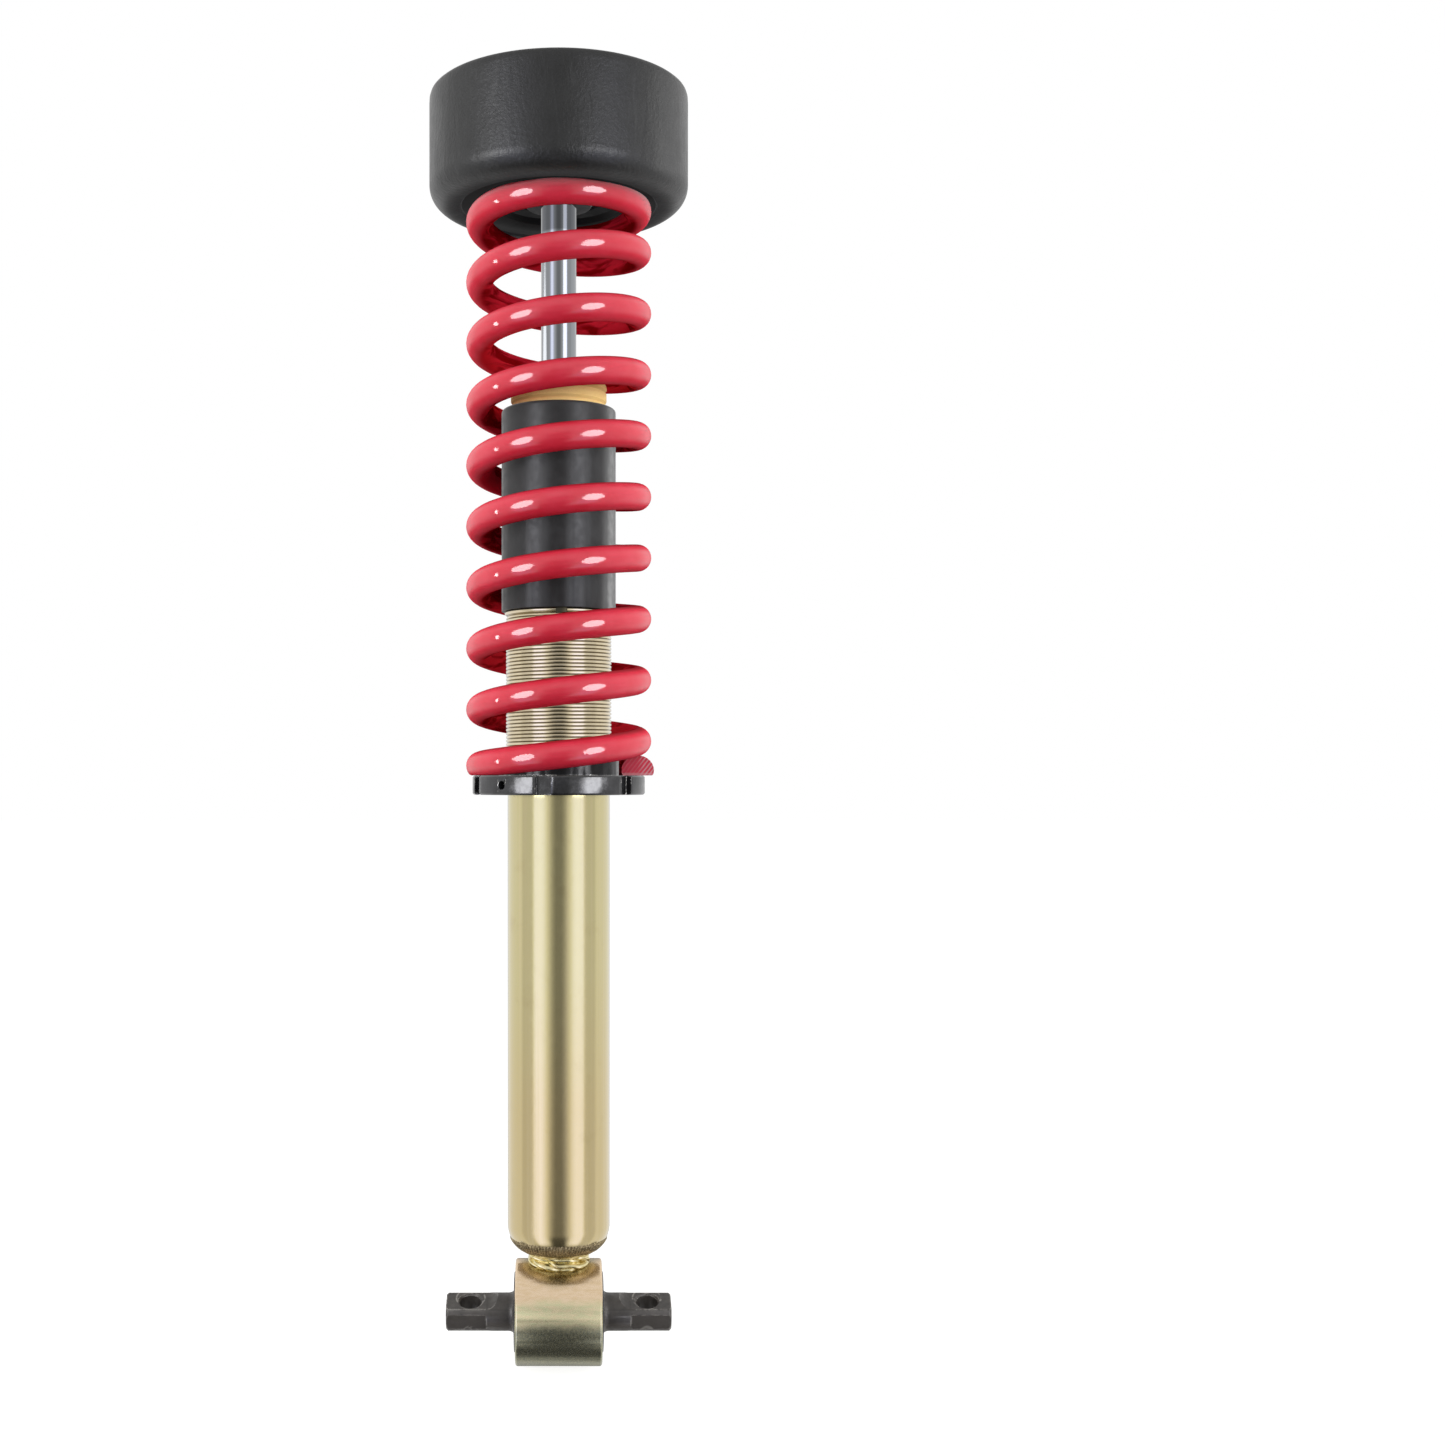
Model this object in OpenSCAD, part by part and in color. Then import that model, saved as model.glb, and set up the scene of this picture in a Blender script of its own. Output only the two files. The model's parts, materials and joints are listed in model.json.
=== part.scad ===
// Coilover: a monotube gas damper with a threaded body, a coil spring on an adjustable perch,
// a bar-pin bush below and a rubber-cased mount above.
// Millimetres. The origin is the centre of the lower bar pin. +Z runs up the damper axis,
// +X along the bar pin.

/* [Lower bar pin] */
// Length of the forged bar pin
pin_len = 112; // [106:1:118]
// Diameter of the round shank outside the eye
pin_d = 18.5; // [17.8:0.1:19.4]
// Diameter of the barrel that the rubber is bonded round
pin_barrel_d = 21.5; // [20:0.5:24]
// Thickness across the two bolting flats
pin_flat_t = 12.8; // [11.6:0.2:14]
// Width across the narrow side flats
pin_side_w = 16.6; // [15.6:0.2:17.2]
// Length of each bolting flat
pin_flat_len = 27; // [23:1:28]
// Radius where a flat runs out into the shank
pin_runout = 7; // [4:1:9]
// Distance between the two bolt holes
pin_hole_pitch = 88; // [84:1:90]
// Diameter of a bolt hole
pin_hole_d = 10.8; // [9:0.2:11.4]
// Chamfer at the mouth of a bolt hole
pin_hole_chamfer = 0.8; // [0.3:0.1:1.2]
// Tilt of the flats about the pin's axis, in degrees
pin_tilt = 21; // [0:1:45]

/* [Lower eye and bush] */
// Outer diameter of the eye
eye_d = 52; // [50:0.5:56]
// Width of the eye along the pin
eye_w = 43; // [39:1:46]
// Wall of the eye
eye_wall = 4.5; // [3.5:0.25:5.5]
// Wall of the steel shell pressed into the eye
shell_t = 1.5; // [1:0.25:2]
// How much narrower than the eye the shell is, at each side
shell_inset = 1; // [0.5:0.25:2]
// How far the rubber's lip stands out of the eye
lip = 0.8; // [0.4:0.1:1.4]
// Chamfer on the eye's edges
eye_chamfer = 0.8; // [0.4:0.1:1.2]
// Diameter of the weld between the eye and the body
weld_d = 30.8; // [28:0.2:33]
// Distance between the eye's top and the body's base
weld_gap = 3.8; // [3:0.2:5]

/* [Damper body] */
// Outer diameter of the tube
tube_d = 51; // [50:0.5:52]
// Bore of the tube
tube_bore = 46; // [45:0.25:46.5]
// Length of the tube from its base to its open end
tube_len = 416; // [405:1:425]
// Radius of the tube's closed end
tube_corner = 15.7; // [14:0.1:18]
// Height that the flat on the closed end takes off that radius
tube_land = 0.9; // [0.5:0.1:1.5]
// Thickness of the closed end
tube_end_t = 4; // [3:0.25:6]
// Height of the rolled thread's crest above the tube
thread_rise = 0.8; // [0.5:0.1:1.1]
// Lead of the body thread
thread_pitch = 1.8; // [1.5:0.1:2]
// Height of the thread's lower end above the tube's base
thread_from = 232; // [228:1:236]

/* [Perch ring] */
// Outer diameter of the perch ring
perch_d = 86; // [82:0.5:92]
// Thickness of the perch ring's flange
perch_t = 9.5; // [8:0.5:12]
// How far the ring reaches below the thread
perch_overhang = 3.3; // [2:0.1:5]
// Diameter of the boss that centres the spring
perch_boss_d = 60; // [58:0.5:62]
// Height of the boss above the flange
perch_boss_h = 12; // [8:0.5:13]
// Number of spanner slots
slot_count = 6; // [4:1:8]
// Width of a spanner slot
slot_w = 7.5; // [6:0.5:9]
// Depth of a spanner slot
slot_depth = 3.2; // [2.4:0.2:3.8]
// Diameter of the locking screw's hole
screw_d = 4.2; // [3.4:0.2:5]
// Length of the locking screw
screw_len = 8; // [6:0.5:10]

/* [Spring] */
// Diameter of the spring wire
wire_d = 13.5; // [12.5:0.25:14]
// Mean diameter of the coils
coil_d = 79; // [78:0.5:81]
// Number of turns, end to end
coil_turns = 10.22; // [9.82:0.1:10.62]
// Length of the spring between its ground ends
spring_len = 284; // [276:1:292]
// Gap between a closed end turn and the next turn
tip_gap = 0.9; // [0.7:0.1:2]
// Height of the wire's centre above the ground face at its tip
grind = 2.55; // [1.8:0.05:4]
// Angle of the lower wire tip about the axis, in degrees
tip_angle = -5; // [-20:1:20]

/* [Sleeve and bump stop] */
// Outer diameter of the guide sleeve
sleeve_d = 57; // [56:0.5:60]
// Length of the guide sleeve
sleeve_len = 100.5; // [92:0.5:104]
// How far the sleeve stands above the body's open end
sleeve_over = 4.5; // [1:0.5:6]
// Radius on the sleeve's upper edge
sleeve_round = 1.6; // [0.8:0.1:1.8]
// Wire diameter of the sleeve's snap ring
clip_d = 2; // [1.6:0.1:2.4]
// Outer diameter of the bump stop
bump_d = 49; // [44:0.5:50]
// Height of the bump stop
bump_h = 28; // [22:1:30]
// Depth of the grooves round the bump stop
bump_groove = 0.6; // [0.3:0.1:1.5]

/* [Gland] */
// Length of the gland that closes the tube
gland_len = 26; // [25:0.5:32]
// Distance from the gland to the tube's open end
gland_inset = 4; // [3:0.25:6]
// Height of the rod seal
seal_h = 7; // [5:0.5:7]
// Width of the seal round the rod
seal_w = 5.2; // [4:0.2:6]
// Height of the wiper
wiper_h = 6; // [4:0.5:6]
// Length of the plain bearing in the gland
bearing_len = 11; // [8:0.5:12]
// Wall of the plain bearing
bearing_t = 1.5; // [1:0.1:2]
// Thickness of the snap ring that holds the gland
retainer_t = 2; // [1.5:0.1:2.2]

/* [Rod and piston] */
// Diameter of the piston rod
rod_d = 17.5; // [16:0.25:18]
// Diameter of the rod's lower stud
stud_d = 12; // [10:0.5:13]
// Height of the piston
piston_h = 16; // [12:0.5:20]
// Number of ports through the piston each way
port_count = 6; // [4:1:7]
// Diameter of a port
port_d = 2.8; // [2:0.1:3.2]
// Diameter of the largest shim
shim_d = 36; // [33:0.5:36.5]
// Step in radius from one shim to the next
shim_step = 2; // [1:0.25:2.25]
// Thickness of one shim
shim_t = 0.6; // [0.3:0.1:0.8]
// Number of shims in each stack
shim_count = 4; // [3:1:5]
// Height of the piston nut
piston_nut_h = 10; // [8:0.5:12]
// Size across the flats of the piston nut
piston_nut_af = 18; // [17:0.5:21]
// Height of the rebound stop on the rod
rebound_h = 12; // [8:0.5:15]
// Diameter of the rebound stop
rebound_d = 31.5; // [28:0.5:36]
// Thickness of the washer under the rebound stop
backing_t = 3; // [2:0.5:4]
// Diameter of that washer
backing_d = 30; // [27:0.5:34]
// Travel left above the rebound stop at rest
droop_room = 62; // [60:1:70]

/* [Floating divider] */
// Height of the floating divider
divider_h = 22; // [18:1:26]
// Height of the divider's base above the tube's base
divider_from = 138; // [120:1:150]

/* [Top mount] */
// Outer diameter of the rubber casing
mount_d = 129; // [126:0.5:134]
// Height of the mounting face above the spring seat
mount_h = 54.3; // [53.8:0.5:58]
// Rubber outside the steel top plate
casing_t = 4.5; // [3.5:0.25:6]
// How far the casing hangs below the spring seat
skirt = 1; // [0.5:0.25:4]
// Radius of the casing's lower edge
casing_round = 10.5; // [8:0.5:12]
// Gap between the spring and the pocket round it
pocket_gap = 2.4; // [1.8:0.1:3]
// Thickness of the rubber pad on the spring seat
pad_t = 3.5; // [2.5:0.25:4.5]
// Thickness of the steel top plate
plate_t = 6; // [5:0.5:8]
// Outer diameter of the hub
hub_d = 52; // [50:0.5:56]
// Wall of the hub
hub_t = 4; // [3:0.25:4.5]
// Outer diameter of the hub's flange
flange_d = 112; // [106:1:114]
// Circle of the threaded inserts
insert_pcd = 84; // [80:1:90]
// Number of threaded inserts
insert_count = 3; // [2:1:4]
// Diameter of a threaded insert
insert_d = 16; // [14:0.5:18]
// Core diameter of the insert's thread
insert_core_d = 8.5; // [6.8:0.1:10.2]
// Length of a threaded insert
insert_len = 20; // [14:1:24]

/* [Rod fixing] */
// Diameter of the rod's upper stud
top_stud_d = 14; // [12:0.5:14]
// Diameter of the rubber rod bushes
bush_d = 39; // [34:0.5:40]
// Height of one rod bush
bush_h = 13; // [11:0.5:14]
// Thickness of a cup washer
washer_t = 3; // [2:0.25:3.5]
// Diameter of a cup washer
washer_d = 36; // [32:0.5:38]
// Outer diameter of the spacer through the bushes
spacer_d = 20; // [18:0.5:22]
// Size across the flats of the rod nut
nut_af = 21; // [19:0.5:22]
// Height of the rod nut
nut_h = 12; // [10:0.5:13]
// Thread left above the rod nut
thread_out = 4.5; // [2:0.5:8]

/* [Clearances] */
// Radial clearance of a running fit
running = 0.05; // [0.03:0.01:0.1]
// Radial clearance of a part that is slipped on
slip = 0.2; // [0.1:0.05:0.3]
// Gap between the spring's ground ends and their seats
seat_gap = 0.1; // [0.05:0.05:0.3]

/* [Hidden] */
$fn = 96;
eps = 0.01;

// radii of the turned parts
eye_r = eye_d / 2;
tube_r = tube_d / 2;
bore_r = tube_bore / 2;
thread_r = tube_r + thread_rise;
rod_r = rod_d / 2;
wire_r = wire_d / 2;
piston_r = bore_r - 0.4;
shell_r = eye_r - eye_wall;
rubber_r = shell_r - shell_t;
barrel_r = pin_barrel_d / 2;

// heights up the body
tube_z = eye_r + weld_gap;
tube_top = tube_z + tube_len;
corner_r = tube_r - tube_corner;
thread_z = tube_z + thread_from;
sleeve_z = tube_top + sleeve_over - sleeve_len;
clip_z = sleeve_z - clip_d / 2;
thread_top = sleeve_z - clip_d;
gland_top = tube_top - gland_inset;
gland_z = gland_top - gland_len;
bearing_z = gland_z + seal_h;
wiper_z = gland_top - wiper_h;

// perch and spring
perch_z = thread_z - perch_overhang + perch_t;
spring_z = perch_z + seat_gap;
dead_rise = wire_d + tip_gap;
coil_pitch = (spring_len - 2 * grind - 2 * dead_rise) / (coil_turns - 2);
end_turns = 1.5 * (1 - dead_rise / coil_pitch);
coil_sides = 8;
rings_per_turn = 24;
coil_rings = ceil(rings_per_turn * coil_turns);
slot_angle = 260;
screw_angle = 230;
screw_z = perch_z - perch_t / 2;
screw_tip = thread_r + slip;

// rod stack, from the rebound stop down
stack_t = shim_t * shim_count;
rebound_z = gland_z - droop_room - rebound_h;
backing_z = rebound_z - backing_t;
piston_z = backing_z - stack_t - piston_h;
nut_z = piston_z - stack_t - piston_nut_h;
divider_z = tube_z + divider_from;

// top mount, from the spring seat up
seat_z = spring_z + spring_len + seat_gap;
top_z = seat_z + mount_h;
flange_z = seat_z + pad_t;
lower_bush_z = seat_z + washer_t;
web_z = lower_bush_z + bush_h;
upper_bush_z = web_z + hub_t;
upper_washer_z = upper_bush_z + bush_h;
rod_nut_z = upper_washer_z + washer_t;
rod_top = rod_nut_z + nut_h + thread_out;
washer_web = 0.7 * washer_t;
mount_r = mount_d / 2;
plate_r = mount_r - casing_t;
hub_r = hub_d / 2;
hub_bore = hub_r - hub_t;
pocket_r = coil_d / 2 + wire_r + pocket_gap;
skirt_z = seat_z - skirt;
plate_z = top_z - plate_t;

// a turned ring with chamfered corners
module ring(r0, r1, z0, z1, c = 0) {
    rotate_extrude()
        polygon([[r0 + c, z0], [r1 - c, z0], [r1, z0 + c], [r1, z1 - c],
            [r1 - c, z1], [r0 + c, z1], [r0, z1 - c], [r0, z0 + c]]);
}

// a turned ring with square corners
module plain_ring(r0, r1, z0, z1) {
    rotate_extrude()
        translate([r0, z0])
            square([r1 - r0, z1 - z0]);
}

// the same along the bar pin, centred on the eye
module cross_ring(r0, r1, half_w, c = 0) {
    rotate([0, 90, 0])
        ring(r0, r1, -half_w, half_w, c);
}

module around(count, start = 0) {
    for (i = [0 : count - 1])
        rotate([0, 0, start + i * 360 / count])
            children();
}

// ---- lower end ----

// material cut away above one flat at one end of the pin, with a round run-out
module flat_cut(height, runout) {
    start = pin_len / 2 - pin_flat_len;
    translate([start + runout, -pin_d, height])
        cube([pin_flat_len, 2 * pin_d, pin_d]);
    translate([start + runout, 0, height + runout])
        rotate([90, 0, 0])
            cylinder(r = runout, h = 2 * pin_d, center = true);
}

// half of the pin's turned blank, with its flare beside the eye
module pin_blank_half() {
    face = eye_w / 2 + lip;
    flare = pin_barrel_d - pin_d;
    rotate([0, 90, 0])
        rotate_extrude()
            polygon(concat([[0, 0], [barrel_r, 0]],
                [for (a = [0 : 15 : 90]) [barrel_r - flare / 2 * sin(a), face + flare * (1 - cos(a))]],
                [[pin_d / 2, pin_len / 2 - 1], [pin_d / 2 - 1, pin_len / 2], [0, pin_len / 2]]));
}

module pin_half() {
    side_from = pin_len / 2 - pin_flat_len + pin_runout;
    difference() {
        pin_blank_half();
        for (turn = [0, 180])
            rotate([turn, 0, 0])
                flat_cut(pin_flat_t / 2, pin_runout);
        for (side = [-1, 1])
            translate([side_from, side > 0 ? pin_side_w / 2 : -pin_side_w / 2 - pin_d, -pin_d])
                cube([pin_len, pin_d, 2 * pin_d]);
        translate([pin_hole_pitch / 2, 0, 0])
            bolt_hole();
    }
}

module bolt_hole() {
    half = pin_flat_t / 2;
    cylinder(d = pin_hole_d, h = pin_d, center = true);
    for (turn = [0, 180])
        rotate([turn, 0, 0])
            translate([0, 0, half - pin_hole_chamfer])
                cylinder(d1 = pin_hole_d, d2 = pin_hole_d + 4 * pin_hole_chamfer,
                    h = 2 * pin_hole_chamfer);
}

module bar_pin() {
    color("#3c3a3a")
        rotate([pin_tilt, 0, 0]) {
            pin_half();
            mirror([1, 0, 0])
                pin_half();
        }
}

module bush_rubber() {
    half = eye_w / 2;
    color("#1c1c1c")
        rotate([0, 90, 0])
            rotate_extrude()
                polygon([[barrel_r + running, -half - lip], [rubber_r - 1, -half - lip],
                    [rubber_r, -half], [rubber_r, half], [rubber_r - 1, half + lip],
                    [barrel_r + running, half + lip]]);
}

module bush_shell() {
    color("#6d6d6d")
        cross_ring(rubber_r, shell_r, eye_w / 2 - shell_inset, 0.3);
}

module lower_eye() {
    color("#c2b083")
        cross_ring(shell_r, eye_r, eye_w / 2, eye_chamfer);
}

// two laps of weld between the eye's crown and the body's base
module eye_weld() {
    bead = weld_d / 11;
    core = weld_d / 2 - bead / 2;
    color("#cdb56a")
        difference() {
            rotate_extrude() {
                translate([0, eye_r - 6.4])
                    square([core, weld_gap + 8]);
                translate([core - bead / 2, eye_r - 3.4])
                    circle(r = bead);
                translate([core - bead / 2, tube_z - bead / 4])
                    circle(r = bead);
            }
            rotate([0, 90, 0])
                cylinder(r = eye_r, h = 2 * eye_w, center = true);
            tube_outside();
        }
}

// ---- damper body ----

// half outline of a round-ended can, offset in from the tube's outside
module can_outline(inset, base) {
    corner = tube_corner - inset;
    corner_z = tube_z + tube_corner - tube_land;
    intersection() {
        union() {
            translate([0, corner_z])
                square([tube_r - inset, tube_len]);
            translate([0, corner_z - corner])
                square([corner_r, corner]);
            translate([corner_r, corner_z])
                circle(r = corner);
        }
        translate([0, base])
            square([tube_d, tube_top + 1 - base]);
    }
}

module tube_outside() {
    rotate_extrude()
        can_outline(0, tube_z);
}

module damper_tube() {
    wall = tube_r - bore_r;
    color("#c9bd8e")
        difference() {
            union() {
                intersection() {
                    tube_outside();
                    cylinder(r = tube_d, h = tube_top);
                }
                plain_ring(tube_r - wall / 2, thread_r, thread_z, thread_top);
            }
            rotate_extrude()
                can_outline(wall, tube_z + tube_end_t);
            plain_ring(tube_r - clip_d / 4, thread_r + 1, thread_top, sleeve_z);
            plain_ring(0, bore_r + retainer_t / 2, gland_top, gland_top + retainer_t);
        }
}

module sleeve_clip() {
    inner = tube_r - clip_d / 4;
    color("#b9a674")
        rotate([0, 0, 279])
            rotate_extrude(angle = 348)
                translate([inner + clip_d / 2, clip_z])
                    circle(d = clip_d);
}

module guide_sleeve() {
    inner = tube_r + slip;
    outer = sleeve_d / 2;
    top = sleeve_z + sleeve_len;
    round_r = min(sleeve_round, outer - inner - 0.3);
    color("#262626")
        rotate_extrude() {
            translate([inner, sleeve_z])
                square([outer - inner, sleeve_len - round_r]);
            translate([inner, sleeve_z])
                square([outer - inner - round_r, sleeve_len]);
            translate([outer - round_r, top - round_r])
                circle(r = round_r);
        }
}

// foam stop that stands on the tube's open end, with rolled grooves
module bump_stop() {
    r = bump_d / 2;
    waist = r - 0.5;
    color("#dcc48a")
        difference() {
            rotate_extrude()
                polygon([[rod_r + 1, tube_top], [r, tube_top], [r, tube_top + 6.4],
                    [waist, tube_top + 7.6], [waist, tube_top + bump_h - 9],
                    [waist - 4, tube_top + bump_h - 3], [waist - 7, tube_top + bump_h],
                    [rod_r + 3, tube_top + bump_h], [rod_r + 1, tube_top + bump_h - 3]]);
            for (z = [7.6, 13.4])
                rotate_extrude()
                    translate([waist + bump_groove / 3, tube_top + z])
                        circle(r = bump_groove);
        }
}

module gland() {
    outer = bore_r - running;
    mid = gland_z + gland_len / 2;
    color("#b9bcc0")
        difference() {
            ring(rod_r + 4 * slip, outer, gland_z, gland_top, 0.5);
            plain_ring(0, rod_r + seal_w, gland_z - 1, bearing_z);
            plain_ring(0, rod_r + bearing_t + running, bearing_z - eps, bearing_z + bearing_len);
            plain_ring(0, rod_r + seal_w - 1, wiper_z, gland_top + 1);
            plain_ring(outer - 2, outer + 1, mid - 1.3, mid + 1.3);
        }
}

module gland_o_ring() {
    color("#141414")
        rotate_extrude()
            translate([bore_r - running - 1, gland_z + gland_len / 2])
                circle(r = 1);
}

module rod_bearing() {
    color("#9a7b4f")
        plain_ring(rod_r + running, rod_r + running + bearing_t, bearing_z,
            bearing_z + bearing_len);
}

// lip seal that opens towards the oil
module rod_seal() {
    inner = rod_r + running;
    outer = rod_r + seal_w;
    mid = (inner + outer) / 2;
    color("#1a1a1a")
        rotate_extrude()
            polygon([[inner, gland_z + 0.3], [mid - 1, gland_z + 0.3],
                [mid, gland_z + seal_h * 0.5], [mid + 1, gland_z + 0.3],
                [outer, gland_z + 0.3], [outer, bearing_z], [inner + 0.8, bearing_z],
                [inner, bearing_z - 2]]);
}

module rod_wiper() {
    inner = rod_r + running;
    outer = rod_r + seal_w - 1;
    color("#1a1a1a")
        rotate_extrude()
            polygon([[inner + 0.8, wiper_z], [outer, wiper_z], [outer, gland_top - 0.3],
                [inner + 1.6, gland_top - 0.3], [inner + 1, wiper_z + wiper_h * 0.5],
                [inner, gland_top - 0.3], [inner, wiper_z + 1.2]]);
}

// flat snap ring in the groove near the tube's open end
module gland_retainer() {
    color("#4a4a4a")
        rotate([0, 0, 10])
            rotate_extrude(angle = 335)
                translate([bore_r - 2.2, gland_top])
                    square([2.2 + retainer_t / 2, retainer_t]);
}

module divider_piston() {
    outer = bore_r - running;
    mid = divider_z + divider_h / 2;
    color("#b9bcc0")
        difference() {
            rotate_extrude()
                polygon([[0, divider_z + divider_h / 2], [outer - 5, divider_z + divider_h / 2],
                    [outer - 4, divider_z], [outer - 0.6, divider_z], [outer, divider_z + 0.6],
                    [outer, divider_z + divider_h - 0.6], [outer - 0.6, divider_z + divider_h],
                    [0, divider_z + divider_h]]);
            plain_ring(outer - 2, outer + 1, mid - 1.3, mid + 1.3);
        }
}

module divider_o_ring() {
    color("#141414")
        rotate_extrude()
            translate([bore_r - running - 1, divider_z + divider_h / 2])
                circle(r = 1);
}

// ---- perch and spring ----

module perch_ring() {
    bore = thread_r + running;
    outer = perch_d / 2;
    boss = perch_boss_d / 2;
    base = perch_z - perch_t;
    color("#2a2a2c")
        difference() {
            rotate_extrude()
                polygon([[bore + 0.6, base], [outer - 0.8, base], [outer, base + 0.8],
                    [outer, perch_z - 0.8], [outer - 0.8, perch_z], [boss, perch_z],
                    [boss, perch_z + perch_boss_h - 1], [boss - 1, perch_z + perch_boss_h],
                    [bore + 0.6, perch_z + perch_boss_h], [bore, perch_z + perch_boss_h - 0.6],
                    [bore, base + 0.6]]);
            around(slot_count, slot_angle)
                translate([outer - slot_depth, -slot_w / 2, base - 1])
                    cube([perch_d, slot_w, perch_t + 2]);
            rotate([0, 0, screw_angle])
                translate([bore - 2, 0, screw_z])
                    rotate([0, 90, 0])
                        cylinder(d = screw_d, h = outer);
        }
}

// cup-point locking screw with a hexagon socket, down in its hole
module perch_screw() {
    color("#5a5a5a")
        rotate([0, 0, screw_angle])
            translate([screw_tip, 0, screw_z])
                rotate([0, 90, 0])
                    difference() {
                        union() {
                            cylinder(d1 = screw_d * 0.5, d2 = screw_d - 2 * running,
                                h = screw_d * 0.2);
                            translate([0, 0, screw_d * 0.2])
                                cylinder(d = screw_d - 2 * running, h = screw_len - screw_d * 0.2);
                        }
                        translate([0, 0, screw_len * 0.6])
                            cylinder(d = screw_d * 0.55, h = screw_len, $fn = 6);
                    }
}

// share of the pitch that the wire has risen t turns after a tip, within the closed end
function end_rise(t) = coil_pitch * end_turns * pow(t / end_turns, 3) / 3;
function end_slope(t) = pow(t / end_turns, 2);

// height of the wire's centre above the lower tip, and its slope as a share of the pitch
function coil_rise(t) = t < end_turns ? end_rise(t)
    : t > coil_turns - end_turns ? spring_len - 2 * grind - end_rise(coil_turns - t)
    : coil_pitch * (t - 2 * end_turns / 3);
function coil_slope(t) = t < end_turns ? end_slope(t)
    : t > coil_turns - end_turns ? end_slope(coil_turns - t) : 1;

function coil_centre(t) = [coil_d / 2 * cos(tip_angle + 360 * t), coil_d / 2 * sin(tip_angle + 360 * t),
    spring_z + grind + coil_rise(t)];

// one upright section of the wire, cut off level with the ground ends
function coil_section(t) =
    let (stretch = sqrt(1 + pow(coil_pitch * coil_slope(t) / (PI * coil_d), 2)),
        mid = coil_centre(t))
    [for (k = [0 : coil_sides - 1])
        let (a = 360 * (k + 0.5) / coil_sides,
            out = 1 + wire_r * cos(a) / (coil_d / 2),
            z = mid.z + wire_r * stretch * sin(a))
        [mid.x * out, mid.y * out, min(max(z, spring_z), spring_z + spring_len)]];

// triangles that join ring i of the wire to the next one
function coil_faces(i) = [for (k = [0 : coil_sides - 1])
    let (a = i * coil_sides + k, b = i * coil_sides + (k + 1) % coil_sides)
    for (face = [[a, a + coil_sides, b], [b, a + coil_sides, b + coil_sides]]) face];

function fan(first, flip) = [for (k = [1 : coil_sides - 2])
    flip ? [first, first + k + 1, first + k] : [first, first + k, first + k + 1]];

// least distance between the wire's surface and that of the turns next to it
coil_step = coil_turns / coil_rings;
coil_gap = min([for (i = [0 : coil_rings]) for (j = [i + rings_per_turn / 2 : coil_rings])
    norm(coil_centre(i * coil_step) - coil_centre(j * coil_step)) - wire_d]);
echo(str("coil_spring, least gap to itself: ", coil_gap, " mm"));
echo(str("top face of the mount above the pin's axis: ", top_z, " mm"));

module coil_spring() {
    rings = [for (i = [0 : coil_rings]) coil_section(i * coil_step)];
    points = [for (section = rings) each section];
    sides = [for (i = [0 : coil_rings - 1]) each coil_faces(i)];
    caps = concat(fan(0, false), fan(coil_rings * coil_sides, true));
    color("#c8233c")
        polyhedron(points = points, faces = concat(sides, caps), convexity = 20);
}

// ---- rod and piston ----

module piston_rod() {
    color("#d8dde2")
        rotate_extrude()
            polygon([[0, nut_z - 2], [stud_d / 2 - 1, nut_z - 2], [stud_d / 2, nut_z - 1],
                [stud_d / 2, rebound_z], [rod_r, rebound_z], [rod_r, seat_z - 1],
                [rod_r - 1, seat_z], [top_stud_d / 2, seat_z], [top_stud_d / 2, rod_top - 1],
                [top_stud_d / 2 - 1, rod_top], [0, rod_top]]);
}

// sloping ports from one face's rim to under the other face's shims
module ports(up, start) {
    outer = piston_r - port_d / 2 - 1.2;
    inner = (stud_d + shim_d) / 4;
    slope = atan((outer - inner) / piston_h);
    around(port_count, start)
        translate([(inner + outer) / 2, 0, piston_z + piston_h / 2])
            rotate([0, up ? slope : -slope, 0])
                cylinder(d = port_d, h = 2 * piston_h, center = true);
}

module piston() {
    mid = piston_z + piston_h / 2;
    color("#8f9296")
        difference() {
            ring(stud_d / 2 + running, piston_r, piston_z, piston_z + piston_h, 0.5);
            plain_ring(piston_r - 1, piston_r + 1, mid - piston_h / 4, mid + piston_h / 4);
            ports(true, 0);
            ports(false, 180 / port_count);
        }
}

module piston_band() {
    mid = piston_z + piston_h / 2;
    color("#3b3f3a")
        plain_ring(piston_r - 1, bore_r - running, mid - piston_h / 4 + slip,
            mid + piston_h / 4 - slip);
}

// a stack of shims, the widest against the piston
module shim_stack(z, up) {
    for (i = [0 : shim_count - 1])
        let (r = shim_d / 2 - shim_step * i, low = up ? z + i * shim_t : z - (i + 1) * shim_t)
            plain_ring(stud_d / 2 + running, r, low, low + shim_t);
}

module compression_shims() {
    color("#a9b2ba")
        shim_stack(piston_z + piston_h, true);
}

module rebound_shims() {
    color("#a9b2ba")
        shim_stack(piston_z, false);
}

module piston_nut() {
    color("#8a8d90")
        difference() {
            translate([0, 0, nut_z])
                cylinder(d = piston_nut_af / cos(30), h = piston_nut_h, $fn = 6);
            plain_ring(0, stud_d / 2 + running, nut_z - 1, nut_z + piston_nut_h + 1);
        }
}

module backing_washer() {
    color("#8a8d90")
        plain_ring(stud_d / 2 + running, backing_d / 2, backing_z, rebound_z);
}

module rebound_stop() {
    color("#c8642c")
        ring(rod_r + running, rebound_d / 2, rebound_z, rebound_z + rebound_h, 1.5);
}

// ---- rod fixing in the top mount ----

// a washer dished towards its bush
module cup_washer(z, up) {
    r = washer_d / 2;
    base = up ? z : z + washer_t;
    side = up ? 1 : -1;
    rotate_extrude()
        polygon([[top_stud_d / 2 + running, base], [r - 2, base], [r, base + side * washer_t],
            [r - 2, base + side * washer_t], [r - 3, base + side * washer_web],
            [top_stud_d / 2 + running, base + side * washer_web]]);
}

module lower_washer() {
    color("#3a3a3a")
        cup_washer(seat_z, true);
}

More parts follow.
